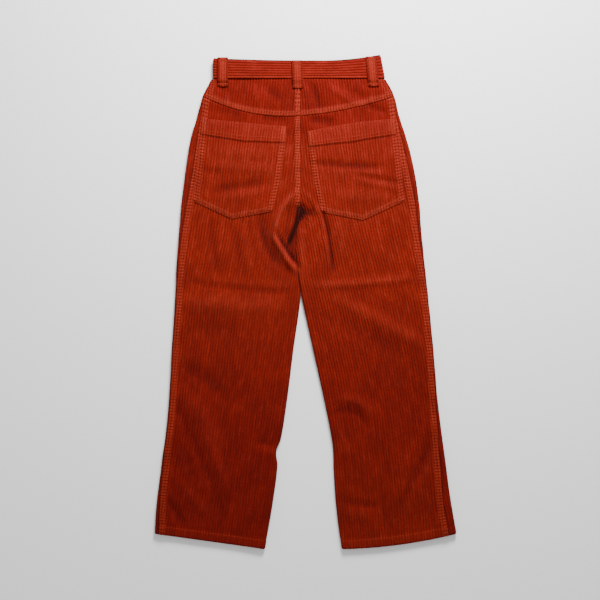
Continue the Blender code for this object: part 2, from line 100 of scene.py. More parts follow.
# %% Outline tables
CENTRE_X = -8.05       # the centre seam
LEFT_IN, RIGHT_IN = CENTRE_X - SEAM_GAP / 2, CENTRE_X + SEAM_GAP / 2
OUTLINE = {
    "left": np.array([
        # y, inner, outer, seam_in
        (334, LEFT_IN, -140.2, 2.5),
        (322, LEFT_IN, -147.2, 2.5),
        (306, LEFT_IN, -154.7, 2.5),
        (278, LEFT_IN, -162.2, 6),
        (244, LEFT_IN, -172.2, 10.5),
        (205, LEFT_IN, -178.7, 11.5),
        (148, LEFT_IN, -185.7, 8),
        (112, -12.2, -188.7, 5),
        (82, -14.2, -191.2, 4),
        (48, -11.2, -193.5, 2.6),
        (25, -8.9, -194.4, 2),
        (6, -7.3, -195.2, 1.8),
        (-70, -17.8, -200.2, 1.8),
        (-142, -26.8, -204.2, 1.8),
        (-205, -36.8, -210.2, 2),
        (-223, -43.8, -213.2, 2.5),
        (-245, -41.8, -215.7, 3),
        (-300, -48.8, -222.7, 4.5),
        (-347, -56.8, -226.2, 6.5),
        (-370, -60.8, -228.2, 6.5),
    ]),
    "right": np.array([
        (334, RIGHT_IN, 119.2, 2.5),
        (322, RIGHT_IN, 126.7, 2.5),
        (306, RIGHT_IN, 133.7, 2.5),
        (278, RIGHT_IN, 140.7, 5),
        (244, RIGHT_IN, 151.7, 8),
        (205, RIGHT_IN, 161.7, 9),
        (148, RIGHT_IN, 170.7, 7),
        (112, -13, 173.2, 5.2),
        (82, -15.1, 176.2, 4),
        (48, -12.1, 179.6, 2.6),
        (25, -9, 182.2, 2),
        (6, -5.7, 184.2, 1.8),
        (-70, 10.8, 191.7, 1.8),
        (-142, 26.8, 197.7, 3.5),
        (-205, 39.3, 205.2, 6.5),
        (-223, 41.3, 207.7, 8),
        (-245, 41.8, 210.7, 9),
        (-300, 45.3, 218.2, 12),
        (-347, 50.8, 226.2, 12),
        (-370, 54.8, 227.2, 12),
    ]),
}
INNER, OUTER, SEAM_IN = 1, 2, 3
for half, table in OUTLINE.items():
    print(half, "hem width:", round(abs(table[-2, OUTER] - table[-2, INNER])), "mm")


# %% Curves and masks
def smooth(table, column, level):
    """A table's column at any level, on a smooth curve through its rows."""
    rows = table[np.argsort(table[:, 0])]
    levels, values = rows[:, 0], rows[:, column]
    slopes = np.empty(len(rows))
    slopes[1:-1] = (values[2:] - values[:-2]) / (levels[2:] - levels[:-2])
    slopes[0] = (values[1] - values[0]) / (levels[1] - levels[0])
    slopes[-1] = (values[-1] - values[-2]) / (levels[-1] - levels[-2])
    level = np.clip(np.asarray(level, float), levels[0], levels[-1])
    i = np.clip(np.searchsorted(levels, level, side="right") - 1, 0, len(rows) - 2)
    run = levels[i + 1] - levels[i]
    t = (level - levels[i]) / run
    return ((2 * t**3 - 3 * t**2 + 1) * values[i] + (t**3 - 2 * t**2 + t) * run * slopes[i]
            + (3 * t**2 - 2 * t**3) * values[i + 1] + (t**3 - t**2) * run * slopes[i + 1])


def mix(start, end, share):
    """From start to end: share is 0 at the start and 1 at the end."""
    return start + (end - start) * share


def arc_length(line):
    """Distance along a line of points, from its first point to each."""
    return np.concatenate([[0], np.cumsum(np.linalg.norm(np.diff(line, axis=0), axis=1))])


def arch(share):
    """1 halfway and 0 at both ends."""
    return 4.0 * share * (1.0 - share)


def soft_step(low, high, value):
    """0 below low and 1 above high, with a smooth climb between them."""
    share = np.clip((np.asarray(value, float) - low) / (high - low), 0.0, 1.0)
    return share * share * (3.0 - 2.0 * share)


def bell(value, middle, reach):
    """1 at the middle, falling off smoothly to both sides."""
    return np.exp(-((value - middle) / reach) ** 2)


def strongest(*masks):
    """The largest of several masks at every point."""
    return functools.reduce(np.maximum, masks)


knee = [float(smooth(OUTLINE["left"], column, -142.0)) for column in (INNER, OUTER)]
print("left leg's width at the knee:", round(knee[0] - knee[1]), "mm")

# %% [markdown]
# ## How the cloth lies
#
# The front lies flat on the floor and the back lies on it, so two heights describe the garment.
# The back keeps its ironed-in and slept-in creases: each is a soft ridge, or a trough where the
# height is negative, drawn along a chord with a bow. Uneven lengths and depths make them real.
# A cloth simulation would crease as well, but never where we want it.

# %% Heights and creases
FRONT_LIFT = 2.3       # the front is held up by its belt loops at the waist
LIFT_START, LIFT_END = 278.0, 318.0
EDGE_HEIGHT = 7.4      # top of the back beside its rolled edges
CENTRE_SAG = 0.9       # how much lower it lies halfway across
WAIST_RISE = 1.6       # how much higher it lies at the waist
LEAST_AIR = 0.6        # between the back and the front
SOFT_STOP = 2.5        # how sharply a trough stops at that air
FORK_Y = 142.0         # the backs part below this
FRONT_FORK_Y = 100.0   # the fronts stay joined a little further down than the backs
FRONT_SEAM_IN = 0.45   # the front's centre seam is not right under the back's
NAP_SHADE_START, NAP_SHADE_END = 90.0, -250.0       # painted shade of the leaning pile grows between these, towards the hem
DARK_TROUGH = 6.5      # a trough this deep is painted fully in shade
RIDGE_WEAR_AND_HIGHLIGHT = 5.6       # a ridge this high is palest, as worn pile and as a painted highlight

CREASES = (
    # x0, y0, x1, y1, bow, width, height
    (-184, 32, -13, 14, -4, 2.6, -1.5),      # left leg, down from the cross crease
    (-172, 43, -20, 25, -5, 7.0, 0.7),
    (-186, 0, -30, -4, -3, 13.0, 2.6),
    (-180, -42, -90, -42, 0, 12.0, -1.2),
    (-184, -94, -108, -152, 3, 10.0, -2.0),
    (-184, -132, -124, -222, 0, 11.0, 2.2),
    (-194, -158, -122, -322, 4, 6.5, -2.0),
    (-157, -192, -116, -282, 3, 8.0, 2.4),
    (-206, -297, -181, -335, 0, 6.0, -1.8),
    (-195, -263, -142, -323, 0, 7.0, 1.2),
    (-79, -208, -39, -216, 0, 2.6, -1.6),
    (-82, -219, -44, -226, 0, 6.0, 0.9),
    (-142, 122, -134, 40, 0, 5.5, -1.5),     # left thigh
    (-114, 120, -95, 32, 3, 5.0, -1.5),
    (-96, 116, -80, 38, 0, 6.0, 1.2),
    (-67, 134, -42, 58, -6, 6.6, -3.8),
    (-50, 66, -21, 42, 0, 6.0, -1.8),
    (-14, 165, -47, 92, -8, 4.8, 4.5),       # left of the fork: a ridge
    (-49, 101, -11, 42, -2.0, 4.4, 4.3),     # and the fold that it turns into
    (-23, 142, -31, 90, 0, 5.5, -2.6),       # the hollow inside them
    (-45, 106, -8, 51, -1.0, 3.0, -6.0),
    (-23, 92, -15, 62, 0, 5.0, -3.0),
    (-8.5, 146, -7.5, 122, 0, 6.2, -8.5),    # the dark gap at the fork
    (-9, 134, -27, 84, 1.5, 4.2, -8.5),
    (-6, 138, 12, 132, -1.5, 4.2, -5.2),     # right of the fork
    (-11, 116, 9, 134, 0, 1.3, 1.3),
    (-9, 110, 11, 127, 0, 1.3, 1.0),
    (-10, 113, 10, 130, 0, 1.0, -1.6),
    (-1.5, 164, 18, 130, 3, 3.0, 2.0),
    (-5, 112, -5, 20, 0, 5.0, 2.2),
    (10.5, 155, 12, 119, 0, 1.8, -2.2),
    (20, 146, 29, 99, 0, 3.8, 2.2),
    (28, 101, 37, 48, 0, 3.4, 2.4),
    (26, 135, 35.5, 99, 0, 2.6, -4.4),       # the trough under the right pocket
    (34, 106, 42, 42, 0, 2.5, -4.6),
    (48, 129, 57, 60, 0, 9.0, 1.4),
    (3, 130, 0, 106, 0, 4.5, -1.8),
    (7, 24, 169, 37, -2, 5.0, 2.5),          # right leg, down from the cross ridge
    (30, 12, 184, -70, 2, 11.0, 2.3),
    (14, -13, 162, -88, 3, 13.0, -1.4),
    (11, -61, 32, -81, 0, 7.0, 1.1),
    (34, -170, 94, -188, 15, 5.0, -2.0),
    (45, -147, 98, -170, 11, 6.0, 2.0),
    (45, -181, 64, -230, 0, 8.0, 1.4),
    (51, -298, 116, -308, 0, 4.0, -1.8),
    (56, -316, 98, -323, 0, 8.0, 1.0),
    (116, -308, 118, -346, 0, 4.0, -1.2),
    (193, -196, 137, -323, 0, 6.0, -1.7),
    (202, -222, 158, -297, 0, 8.0, 1.2),
    (150, -90, 142, -190, 0, 12.0, -0.9),
    (-140, 165, -58, 178, 1, 6.0, -2.6),     # across the left pocket
    (-158, 197, -127, 193, 0, 5.0, -1.3),
    (-143, 206, -40, 196, 0, 8.0, 1.5),
    (-132, 226, -50, 218, 0, 9.0, 1.3),
    (-120, 157, -60, 164, 0, 7.0, 1.3),
    (8, 207, 116, 201, 0, 4.6, -3.4),        # across the right pocket
    (45, 194, 120, 192, 0, 5.0, 1.2),
    (60, 194, 146, 177, 0, 2.6, -2.0),
    (71, 184, 143, 168, 0, 4.0, 1.3),
    (88, 181, 91, 153, 0, 2.5, -0.9),
    (40, 160, 122, 156, 0, 9.0, 1.4),
    (-146, 289, -97, 278, 0, 6.0, -0.6),     # between pockets and waistband
    (-68, 275, -26, 271, 0, 6.0, -1.6),
    (6, 273, 44, 268, 0, 6.0, -2.6),
    (-18.5, 264, -19, 172, 0, 2.6, -1.0),    # beside the centre seam
    (-1, 262, -1, 165, 0, 2.6, -1.0),
    (90, 294, 124, 282, 0, 5.0, -1.4),
    (-130, 320, -104, 312, 0, 6.0, -1.6),
    (-78, 326, -72, 296, 0, 5.0, 1.2),
    (-64, 327, -38, 302, 0, 6.5, -2.4),
    (11, 326, 24, 284, 0, 4.6, -2.4),
    (-4, 330, 5, 290, 0, 4.0, 1.3),
    (34, 322, 79, 294, 0, 5.0, 1.5),
    (56, 324, 90, 303, 0, 5.0, -1.2),
)
WAVES = [(rng.uniform(0.03, 0.11), rng.uniform(0, math.tau), rng.uniform(0, math.tau),
          rng.uniform(0.05, 0.16)) for _ in range(14)]
print("creases:", len(CREASES))


# %% Reading the creases
def crease_height(x, y):
    """All creases added up, before the layer below stops the deep ones."""
    total = np.zeros(np.shape(x))
    for x0, y0, x1, y1, bow, width, height in CREASES:
        run_x, run_y = x1 - x0, y1 - y0
        length = math.hypot(run_x, run_y)
        along = ((x - x0) * run_x + (y - y0) * run_y) / length**2
        across = ((y - y0) * run_x - (x - x0) * run_y) / length
        across = across - bow * arch(np.clip(along, 0, 1))
        fade = soft_step(-0.12, 0.25, along) * (1 - soft_step(0.75, 1.12, along))
        total += height * fade * bell(across, 0, width)
    return total


def fold_marks(points, nap_shade=0.0):
    """How deep each point lies in a fold and how far its pile leans from the light, both for
    painted shade, and how high it is on a ridge, for wear and a painted highlight, all from 0 to
    1."""
    x, y = points[..., 0], points[..., 1]
    height = crease_height(x, y)
    nap_shade_share = soft_step(NAP_SHADE_START, NAP_SHADE_END, y)
    # Painted shade: less of it on the right lower leg, more beside the right pocket.
    nap_shade_share = nap_shade_share * (1 - 0.6 * soft_step(0, 60, x) * soft_step(-100, -330, y))
    nap_shade_share = nap_shade_share + 0.35 * soft_step(100, 150, x) * soft_step(130, 220, y)
    # Troughs get painted shade, ridges wear and a painted highlight.
    return {"fold": np.clip(-height / DARK_TROUGH, 0, 1) ** 1.3,
            "ridge": np.clip(height / RIDGE_WEAR_AND_HIGHLIGHT, 0, 1), "nap_shade": np.maximum(nap_shade_share, nap_shade)}


def edge_shade(distance, reach=2.4, depth=0.5):
    """Painted shade on a rolled edge, which turns away from the light."""
    return depth * bell(distance, 0, reach)


print("depth of the gap at the fork:", round(-float(crease_height(-8.0, 134.0)), 1), "mm")


# %% Reading the heights
def unevenness(x, y):
    """The slight waves that no laid cloth is without."""
    total = np.zeros(np.shape(x))
    for pitch, turn, phase, height in WAVES:
        total += height * np.sin(pitch * (x * math.cos(turn) + y * math.sin(turn)) + phase)
    return total


def under_height(y):
    """Outer face of the front, which faces the floor."""
    ramp = (np.asarray(y, float) - LIFT_START) / (LIFT_END - LIFT_START)
    return FRONT_LIFT * np.clip(ramp, 0, 1)


def top_height(half, x, y):
    """Outer face of the back, which faces up."""
    inner, outer = (smooth(OUTLINE[half], column, y) for column in (INNER, OUTER))
    share = np.clip((x - inner) / (outer - inner), 0, 1)
    height = EDGE_HEIGHT - CENTRE_SAG * arch(share) + crease_height(x, y)
    height += WAIST_RISE * soft_step(LIFT_START, LIFT_END, y) + unevenness(x, y)
    lowest = under_height(y) + 2 * CLOTH + LEAST_AIR
    return lowest + np.logaddexp(0, (height - lowest) * SOFT_STOP) / SOFT_STOP


print("height over the left thigh:", round(float(top_height("left", -100.0, 60.0)), 1), "mm")

# %% [markdown]
# ## Sections through a leg
#
# A laid leg is a flattened tube: a flat underside, a rolled edge at each side and the back on
# top. We could press a tube flat, but its ribs would then follow the tube and not the grain. So
# a row is one section, given by the levels of its two ends: we walk round it as a fine line of
# points, and later read that line at the places where the ribs are.

# %% Rows and grain lines
ROWS = {
    # inner_y, outer_y, bow_left, bow_right
    "back": ((278, 307, -10, -4), (240, 252, -3, -1), (205, 208, 0, 0), (142, 148, 0, 0),
             (82, 84, 0, 0), (6, 8, 0, 0), (-142, -138, 0, 0), (-205, -198, 0, 0),
             (-300, -288, 0, 0), (-357, -334, 0, -4.5), (-370, -347, 0, -5)),
    "yoke": ((333.8, 333.8, 0, 0), (278.3, 307.3, -10, -4)),
    "front": ((333.8, 333.8, 0, 0), (318, 318, 0, 0), (278, 307, -10, -4), (205, 208, 0, 0),
              (142, 148, 0, 0), (82, 84, 0, 0), (6, 8, 0, 0), (-142, -138, 0, 0),
              (-300, -288, 0, 0), (-357, -334, 0, -4.5), (-370, -347, 0, -5)),
}
# The grain line of each piece: its ribs run along this curve of (y, x).
GRAIN = {
    "left": np.array([(-370, -144.5), (-100, -109.5), (40, -91.5), (160, -71.5), (334, -48.0)]),
    "right": np.array([(-370, 142.0), (-230, 129.8), (-80, 107.1), (160, 54.3), (334, 34.0)]),
    "yoke_left": np.array([(270, -80.0), (302, -76.6), (334, -73.2)]),
    "yoke_right": np.array([(270, 64.0), (302, 60.6), (334, 57.2)]),
    "pocket_left": np.array([(120, -108.5), (195, -99.0), (270, -89.5)]),
    "pocket_right": np.array([(120, 82.5), (195, 73.0), (270, 63.5)]),
}


def grain_x(grain, y):
    return smooth(GRAIN[grain], 1, y)


# %% Row levels
def row_levels(kind, half, step, fine=1.3, ends=(16.0, 16.0), dense=()):
    """Rows from a piece's top to its foot, closer together at its edges and where asked."""
    table = np.array(ROWS[kind], float)
    bow = table[:, 2 if half == "left" else 3]
    middle = (table[:, 0] + table[:, 1]) / 2
    top, foot = middle[0], middle[-1]
    at, levels = top, [top]
    while at > foot:
        near_edge = top - at < ends[0] or at - foot < ends[1]
        near_mark = any(abs(at - mark) < reach for mark, reach in dense)
        at = max(foot, at - (fine if near_edge or near_mark else step))
        levels.append(at)
    levels = np.array(levels)
    flip = slice(None, None, -1)
    columns = [np.interp(levels, middle[flip], values[flip])
               for values in (table[:, 0], table[:, 1], bow)]
    return levels, np.stack(columns, axis=1)


print("rows on a leg back:", len(row_levels("back", "left", 4.2)[0]))


# %% One row
class Row:
    """One section across a half, by distance from its inner end."""

    def __init__(self, half, inner_y, outer_y, bow):
        self.half, self.bow = half, bow
        self.inner = np.array([float(smooth(OUTLINE[half], INNER, inner_y)), inner_y])
        self.outer = np.array([float(smooth(OUTLINE[half], OUTER, outer_y)), outer_y])
        self.width = float(np.linalg.norm(self.outer - self.inner))
        self.seam_in = float(smooth(OUTLINE[half], SEAM_IN, outer_y))
        self.parted = inner_y <= FORK_Y            # below the back's fork
        self.wrapped = inner_y <= FRONT_FORK_Y     # and the front's: a whole tube
        near = EDGE_HEIGHT / 2
        self.inner_roll = self.half_height(near)
        self.outer_roll = self.half_height(self.width - near)

    def plan(self, distance):
        share = np.asarray(distance, float) / self.width
        x = mix(self.inner[0], self.outer[0], share)
        y = mix(self.inner[1], self.outer[1], share) + self.bow * arch(np.clip(share, 0, 1))
        return x, y

    def half_height(self, distance):
        x, y = self.plan(distance)
        return float(top_height(self.half, x, y) - under_height(y)) / 2

    def over(self, start, end, count):
        distance = np.linspace(start, end, count)
        x, y = self.plan(distance)
        return np.stack([x, y, top_height(self.half, x, y)], axis=1)

    def below(self, start, end, count):
        x, y = self.plan(np.linspace(start, end, count))
        return np.stack([x, y, under_height(y)], axis=1)

    def roll(self, at_inner, start, end, count):
        """Round a rolled edge, from one turn to another: 90 degrees is the top face."""
        turn = np.radians(np.linspace(start, end, count))
        radius = self.inner_roll if at_inner else self.outer_roll
        centre = radius if at_inner else self.width - radius
        reach = -np.cos(turn) if at_inner else np.cos(turn)
        x, y = self.plan(centre + radius * reach)
        return np.stack([x, y, under_height(y) + radius * (1 + np.sin(turn))], axis=1)

    def seam_arc(self):
        """Length of cloth from the edge's widest point, over the top, to the side seam."""
        radius = self.outer_roll
        if self.seam_in < radius:
            return radius * math.acos(1 - self.seam_in / radius)
        return radius * math.pi / 2 + self.seam_in - radius


print("seat, laid flat:", round(Row("left", 205, 208, 0).width + Row("right", 205, 208, 0).width),
      "mm")

# %% Section lines
INSEAM_IN = 6.0        # how far the inseam lies in from the leg's inner roll
FORK_TURN = 12.0       # above the front's fork, the back ends just under its widest point


def back_line(row):
    """The back's section from the outer edge's widest point, and the arc where it starts."""
    line = [row.roll(False, 0, 90, 12)]
    line.append(row.over(row.width - row.outer_roll, row.inner_roll if row.parted else 0, 160)[1:])
    if row.wrapped:
        line.append(row.roll(True, 90, -90, 24)[1:])
        line.append(row.below(row.inner_roll, row.inner_roll + INSEAM_IN, 5)[1:])
    elif row.parted:
        line.append(row.roll(True, 90, -FORK_TURN, 16)[1:])
    return np.concatenate(line), row.seam_arc() + SEAM_GAP / 2


def front_line(row):
    """The front's section, from the side seam on top, round the edge and along the floor."""
    strip = max(row.seam_in, row.outer_roll) + 6
    line = [row.over(row.width - strip, row.width - row.outer_roll, 12),
            row.roll(False, 90, -90, 24)[1:]]
    beside = FRONT_SEAM_IN if row.half == "right" else -FRONT_SEAM_IN
    inner = row.inner_roll + INSEAM_IN + SEAM_GAP if row.wrapped else beside
    line.append(row.below(row.width - row.outer_roll, inner, 90)[1:])
    line = np.concatenate(line)
    to_edge = strip - row.outer_roll + row.outer_roll * math.pi / 2
    return line, to_edge - row.seam_arc() + SEAM_GAP / 2


thigh = back_line(Row("left", 6, 8, 0))[0]
print("cloth over the back of a thigh:", round(arc_length(thigh)[-1]), "mm")

# %% [markdown]
# ## From lines to cloth
#
# Ribs are woven straight, so a rib is a line that keeps its distance from the grain line, and it
# runs off the cloth where the seam cuts it. We measure the cloth across the grain and read each
# row at the ribs. Columns past a seam fall on its edge and are merged.
# A flat grid is then laid on those points, given a wall, and its ribs are pressed in its outer
# face only, because the back of corduroy is plain.

# %% Reading rows at the ribs
def across_grain(line, grain):
    """Distance over the cloth, square to the grain, for each point of a section line."""
    step = np.diff(line, axis=0)
    y = line[:, 1]
    lean = (grain_x(grain, y + 5) - grain_x(grain, y - 5)) / 10
    along = np.stack([lean, np.ones(len(y)), np.zeros(len(y))], axis=1)
    along = (along / np.linalg.norm(along, axis=1)[:, None])[:-1]
    square = step - (step * along).sum(axis=1)[:, None] * along
    return np.concatenate([[0], np.cumsum(np.linalg.norm(square, axis=1))])


def grain_zero(line, reach, grain):
    """The reach at which a section line crosses its grain line."""
    gap = line[:, 0] - grain_x(grain, line[:, 1])
    order = np.argsort(gap)
    return float(np.interp(0.0, gap[order], reach[order]))


def rib_positions(low, high, pitch, samples):
    """Every sampled place from low to high, as distances from a groove on the grain line."""
    ribs = np.arange(math.floor(low / pitch), math.ceil(high / pitch) + 1)
    return (ribs[:, None] + np.array(samples)[None, :]).ravel() * pitch


def wander(place, y):
    """Ribs are never quite straight: they drift and wriggle by a fraction of a rib."""
    return (0.55 * np.sin(0.017 * y + 0.031 * place) + 0.30 * np.sin(0.052 * y - 0.047 * place + 1)
            + 0.14 * np.sin(0.115 * y + 0.29 * place + 2))


class Sheet:
    """A piece's points at its ribs, row by row, and each point's distance from both ends.

    lines are (points, reach) with reach rising along the row, zeros the reach on the grain line
    and limits the reach at the row's two ends. place is a point's distance from the grain line."""

    def __init__(self, lines, zeros, limits, samples):
        zeros, limits = np.array(zeros), np.array(limits)
        low, high = (limits[:, 0] - zeros).min(), (limits[:, 1] - zeros).max()
        ribs = rib_positions(low, high, WALE, samples)
        self.points = np.empty((len(lines), len(ribs), 3))
        self.place, self.start, self.end = np.empty((3, len(lines), len(ribs)))
        for r, ((line, reach), zero, (start, end)) in enumerate(zip(lines, zeros, limits)):
            drift = wander(ribs, np.interp(ribs + zero, reach, line[:, 1]))
            at = np.clip(ribs + drift + zero, start, end)
            self.place[r], self.start[r], self.end[r] = at - zero - drift, at - start, end - at
            for axis in range(3):
                self.points[r, :, axis] = np.interp(at, reach, line[:, axis])


def rib_shape(place, pitch):
    """0 in a groove and 1 on a rib's crest."""
    return np.abs(np.sin(math.pi * place / pitch)) ** 0.7


print("columns in 100 mm of cloth:", len(rib_positions(0, 100, WALE, RIB_SAMPLES)))


# %% Selecting and counting
def deselect_all():
    for obj in bpy.context.selected_objects:
        obj.select_set(False)


def select_only(obj):
    deselect_all()
    obj.select_set(True)
    bpy.context.view_layer.objects.active = obj


def triangle_count(mesh):
    return sum(len(face.vertices) - 2 for face in mesh.polygons)


# %% A grid laid on points
def grid_object(name, points):
    """A flat grid primitive whose corners are laid on the points."""
    count_y, count_x = points.shape[:2]
    deselect_all()
    bpy.ops.mesh.primitive_grid_add(x_subdivisions=count_x - 1, y_subdivisions=count_y - 1,
                                    size=2.0, location=(0, 0, 0))
    obj = bpy.context.object
    obj.name = name
    obj.data.name = name
    flat = np.empty(len(obj.data.vertices) * 3)
    obj.data.vertices.foreach_get("co", flat)
    flat = flat.reshape(-1, 3)
    column = np.rint((flat[:, 0] + 1) / 2 * (count_x - 1)).astype(int)
    row = np.rint((1 - flat[:, 1]) / 2 * (count_y - 1)).astype(int)
    obj.data.vertices.foreach_set("co", (points[row, column] * MM).ravel())
    return obj, row, column


def set_uv(mesh, values):
    """Ribs across and along the cloth, so that a pattern follows the weave."""
    corner = np.empty(len(mesh.loops), int)
    mesh.loops.foreach_get("vertex_index", corner)
    mesh.uv_layers[0].name = "weave"
    mesh.uv_layers[0].data.foreach_set("uv", values[corner].ravel())


def add_values(mesh, name, values):
    layer = mesh.attributes.new(name, "FLOAT", "POINT")
    layer.data.foreach_set("value", values.astype(float))


def read_values(mesh, name):
    values = np.empty(len(mesh.vertices))
    mesh.attributes[name].data.foreach_get("value", values)
    return values


def apply_modifiers(obj):
    select_only(obj)
    for modifier in list(obj.modifiers):
        bpy.ops.object.modifier_apply(modifier=modifier.name)


# %% A shell of cloth
def cloth_sheet(name, points, weave, press, marks, wall, face_up=True):
    """A closed shell of cloth: points in rows, weave as (across, along) in ribs, press as how
    far its outer face moves out, marks for the shader and wall as its thickness, by point."""
    obj, row, column = grid_object(name, points)
    mesh = obj.data
    set_uv(mesh, weave[row, column])
    for title, values in {"press": press, "wall": wall, **marks}.items():
        add_values(mesh, title, np.broadcast_to(values, points.shape[:2])[row, column])
    bpy.ops.object.mode_set(mode="EDIT")
    bpy.ops.mesh.select_all(action="SELECT")
    bpy.ops.mesh.remove_doubles(threshold=2e-6)
    bpy.ops.mesh.delete_loose(use_verts=True, use_edges=True, use_faces=False)
    bpy.ops.object.mode_set(mode="OBJECT")
    largest = max(mesh.polygons, key=lambda face: face.area)
    if (largest.normal.z > 0) != face_up:
        mesh.flip_normals()
    count = len(mesh.vertices)
    normals = np.empty(count * 3)
    mesh.vertex_normals.foreach_get("vector", normals)
    lift = read_values(mesh, "press")[:, None] * normals.reshape(-1, 3) * MM
    walls = read_values(mesh, "wall")
    group = obj.vertex_groups.new(name="wall")
    for index, value in enumerate(walls / walls.max()):
        group.add([index], float(value), "REPLACE")
    solidify = obj.modifiers.new("wall", "SOLIDIFY")
    solidify.thickness = float(walls.max()) * MM
    solidify.offset = -1.0
    solidify.vertex_group = group.name
    apply_modifiers(obj)
    place = np.empty(len(mesh.vertices) * 3)
    mesh.vertices.foreach_get("co", place)
    place = place.reshape(-1, 3)
    place[:count] += lift
    mesh.vertices.foreach_set("co", place.ravel())
    obj.vertex_groups.clear()
    mesh.attributes.remove(mesh.attributes["press"])
    mesh.attributes.remove(mesh.attributes["wall"])
    mesh.shade_smooth()
    mesh.update()
    print(f"{name}: {triangle_count(mesh)} triangles")
    return obj


# %% [markdown]
# ## Seams in the cloth
#
# A topstitched seam shows as a raised band, where the allowance lies underneath, with a dent
# along each row of stitches and a rounded lip where the cloth is turned in. Each could be drawn
# with loops and a brush. As functions of the distance from the piece's edge, they follow every
# seam by themselves.

# %% Seam profiles
LIP = 0.9
ALLOWANCE = 9.5                 # width of a side seam's raised band
ROWS_OF_STITCH = (2.2, 7.0)     # its stitches, from the piece's edge
CENTRE_BAND = 7.5
CENTRE_ROWS = (1.3, 5.2)


def lip(distance, reach=0.9, depth=LIP):
    """The cloth rounds off towards a turned edge."""
    return -depth * bell(np.maximum(distance, 0), 0, reach)


def stitched_band(distance, rise=0.8, width=ALLOWANCE, rows=ROWS_OF_STITCH, dent=0.45):
    """Lift of a felled seam: up over its allowance, down at each row of stitches."""
    lift = rise * (1 - soft_step(width - 1.5, width + 2.0, distance))
    for row in rows:
        lift = lift - dent * bell(distance, row, 0.75)
    return lift


def band_mask(distance, width=ALLOWANCE):
    """1 on a seam's band and 0 beside it."""
    return 1 - soft_step(width - 1.0, width + 1.0, distance)


def rib_press(place, along, pitch, depth=WALE_DEPTH, fading=0.0):
    """How far the outer face sinks between the ribs, each rib a little unlike the next."""
    rib = np.floor(place / pitch)
    uneven = 0.10 * np.sin(rib * 12.9898 + 1.3) + 0.06 * np.sin(along * 0.045 + rib * 2.1)
    return -depth * (1 - rib_shape(place, pitch)) * (1 + uneven) * (1 - fading)


print("felled seam:", ALLOWANCE, "mm wide with stitches at", ROWS_OF_STITCH)

# %% [markdown]
# ## The corduroy
#
# Light sinks into the grooves and into the pile, so corduroy looks darker and redder between its
# ribs and paler where the nap is worn. An image could hold those colours, but it would repeat.
# One node group mixes them from the weave's own coordinates instead, where one unit is one rib.
# The pile's fine tufts are a noise stretched along the rib. Sheen is set on the shader itself.

# %% Node helpers
def new_group(name, inputs, outputs=("Color", "Height", "Roughness")):
    """A group and its sockets. An input's value tells its kind: a number, a colour, or None for
    a vector."""
    group = bpy.data.node_groups.new(name, "ShaderNodeTree")
    for title, value in inputs.items():
        kind = {float: "Float", tuple: "Color"}.get(type(value), "Vector")
        socket = group.interface.new_socket(title, in_out="INPUT",
                                            socket_type=f"NodeSocket{kind}")
        if value is not None:
            socket.default_value = value
    for title in outputs:
        kind = "Color" if title == "Color" else "Float"
        group.interface.new_socket(title, in_out="OUTPUT", socket_type=f"NodeSocket{kind}")
    given = group.nodes.new("NodeGroupInput").outputs
    made = group.nodes.new("NodeGroupOutput").inputs
    return group, given, made


def put(group, value, socket):
    """Link a socket, or set a number or a colour."""
    if isinstance(value, (int, float, tuple)):
        socket.default_value = value
    else:
        group.links.new(value, socket)


def math_node(group, operation, *values, clamp=False):
    node = group.nodes.new("ShaderNodeMath")
    node.operation = operation
    node.use_clamp = clamp
    for socket, value in zip(node.inputs, values):
        put(group, value, socket)
    return node.outputs[0]


def noise_node(group, vector, scale, detail, roughness=0.55):
    node = group.nodes.new("ShaderNodeTexNoise")
    node.inputs["Scale"].default_value = scale
    node.inputs["Detail"].default_value = detail
    node.inputs["Roughness"].default_value = roughness
    group.links.new(vector, node.inputs["Vector"])
    return node.outputs["Fac"]


def mix_colour(group, factor, first, second, blend="MIX"):
    node = group.nodes.new("ShaderNodeMix")
    node.data_type = "RGBA"
    node.blend_type = blend
    put(group, factor, node.inputs[0])
    put(group, first, node.inputs[6])
    put(group, second, node.inputs[7])
    return node.outputs[2]


def stretched(group, vector, across, along):
    node = group.nodes.new("ShaderNodeMapping")
    node.inputs["Scale"].default_value = (across, along, 1.0)
    group.links.new(vector, node.inputs["Vector"])
    return node.outputs["Vector"]


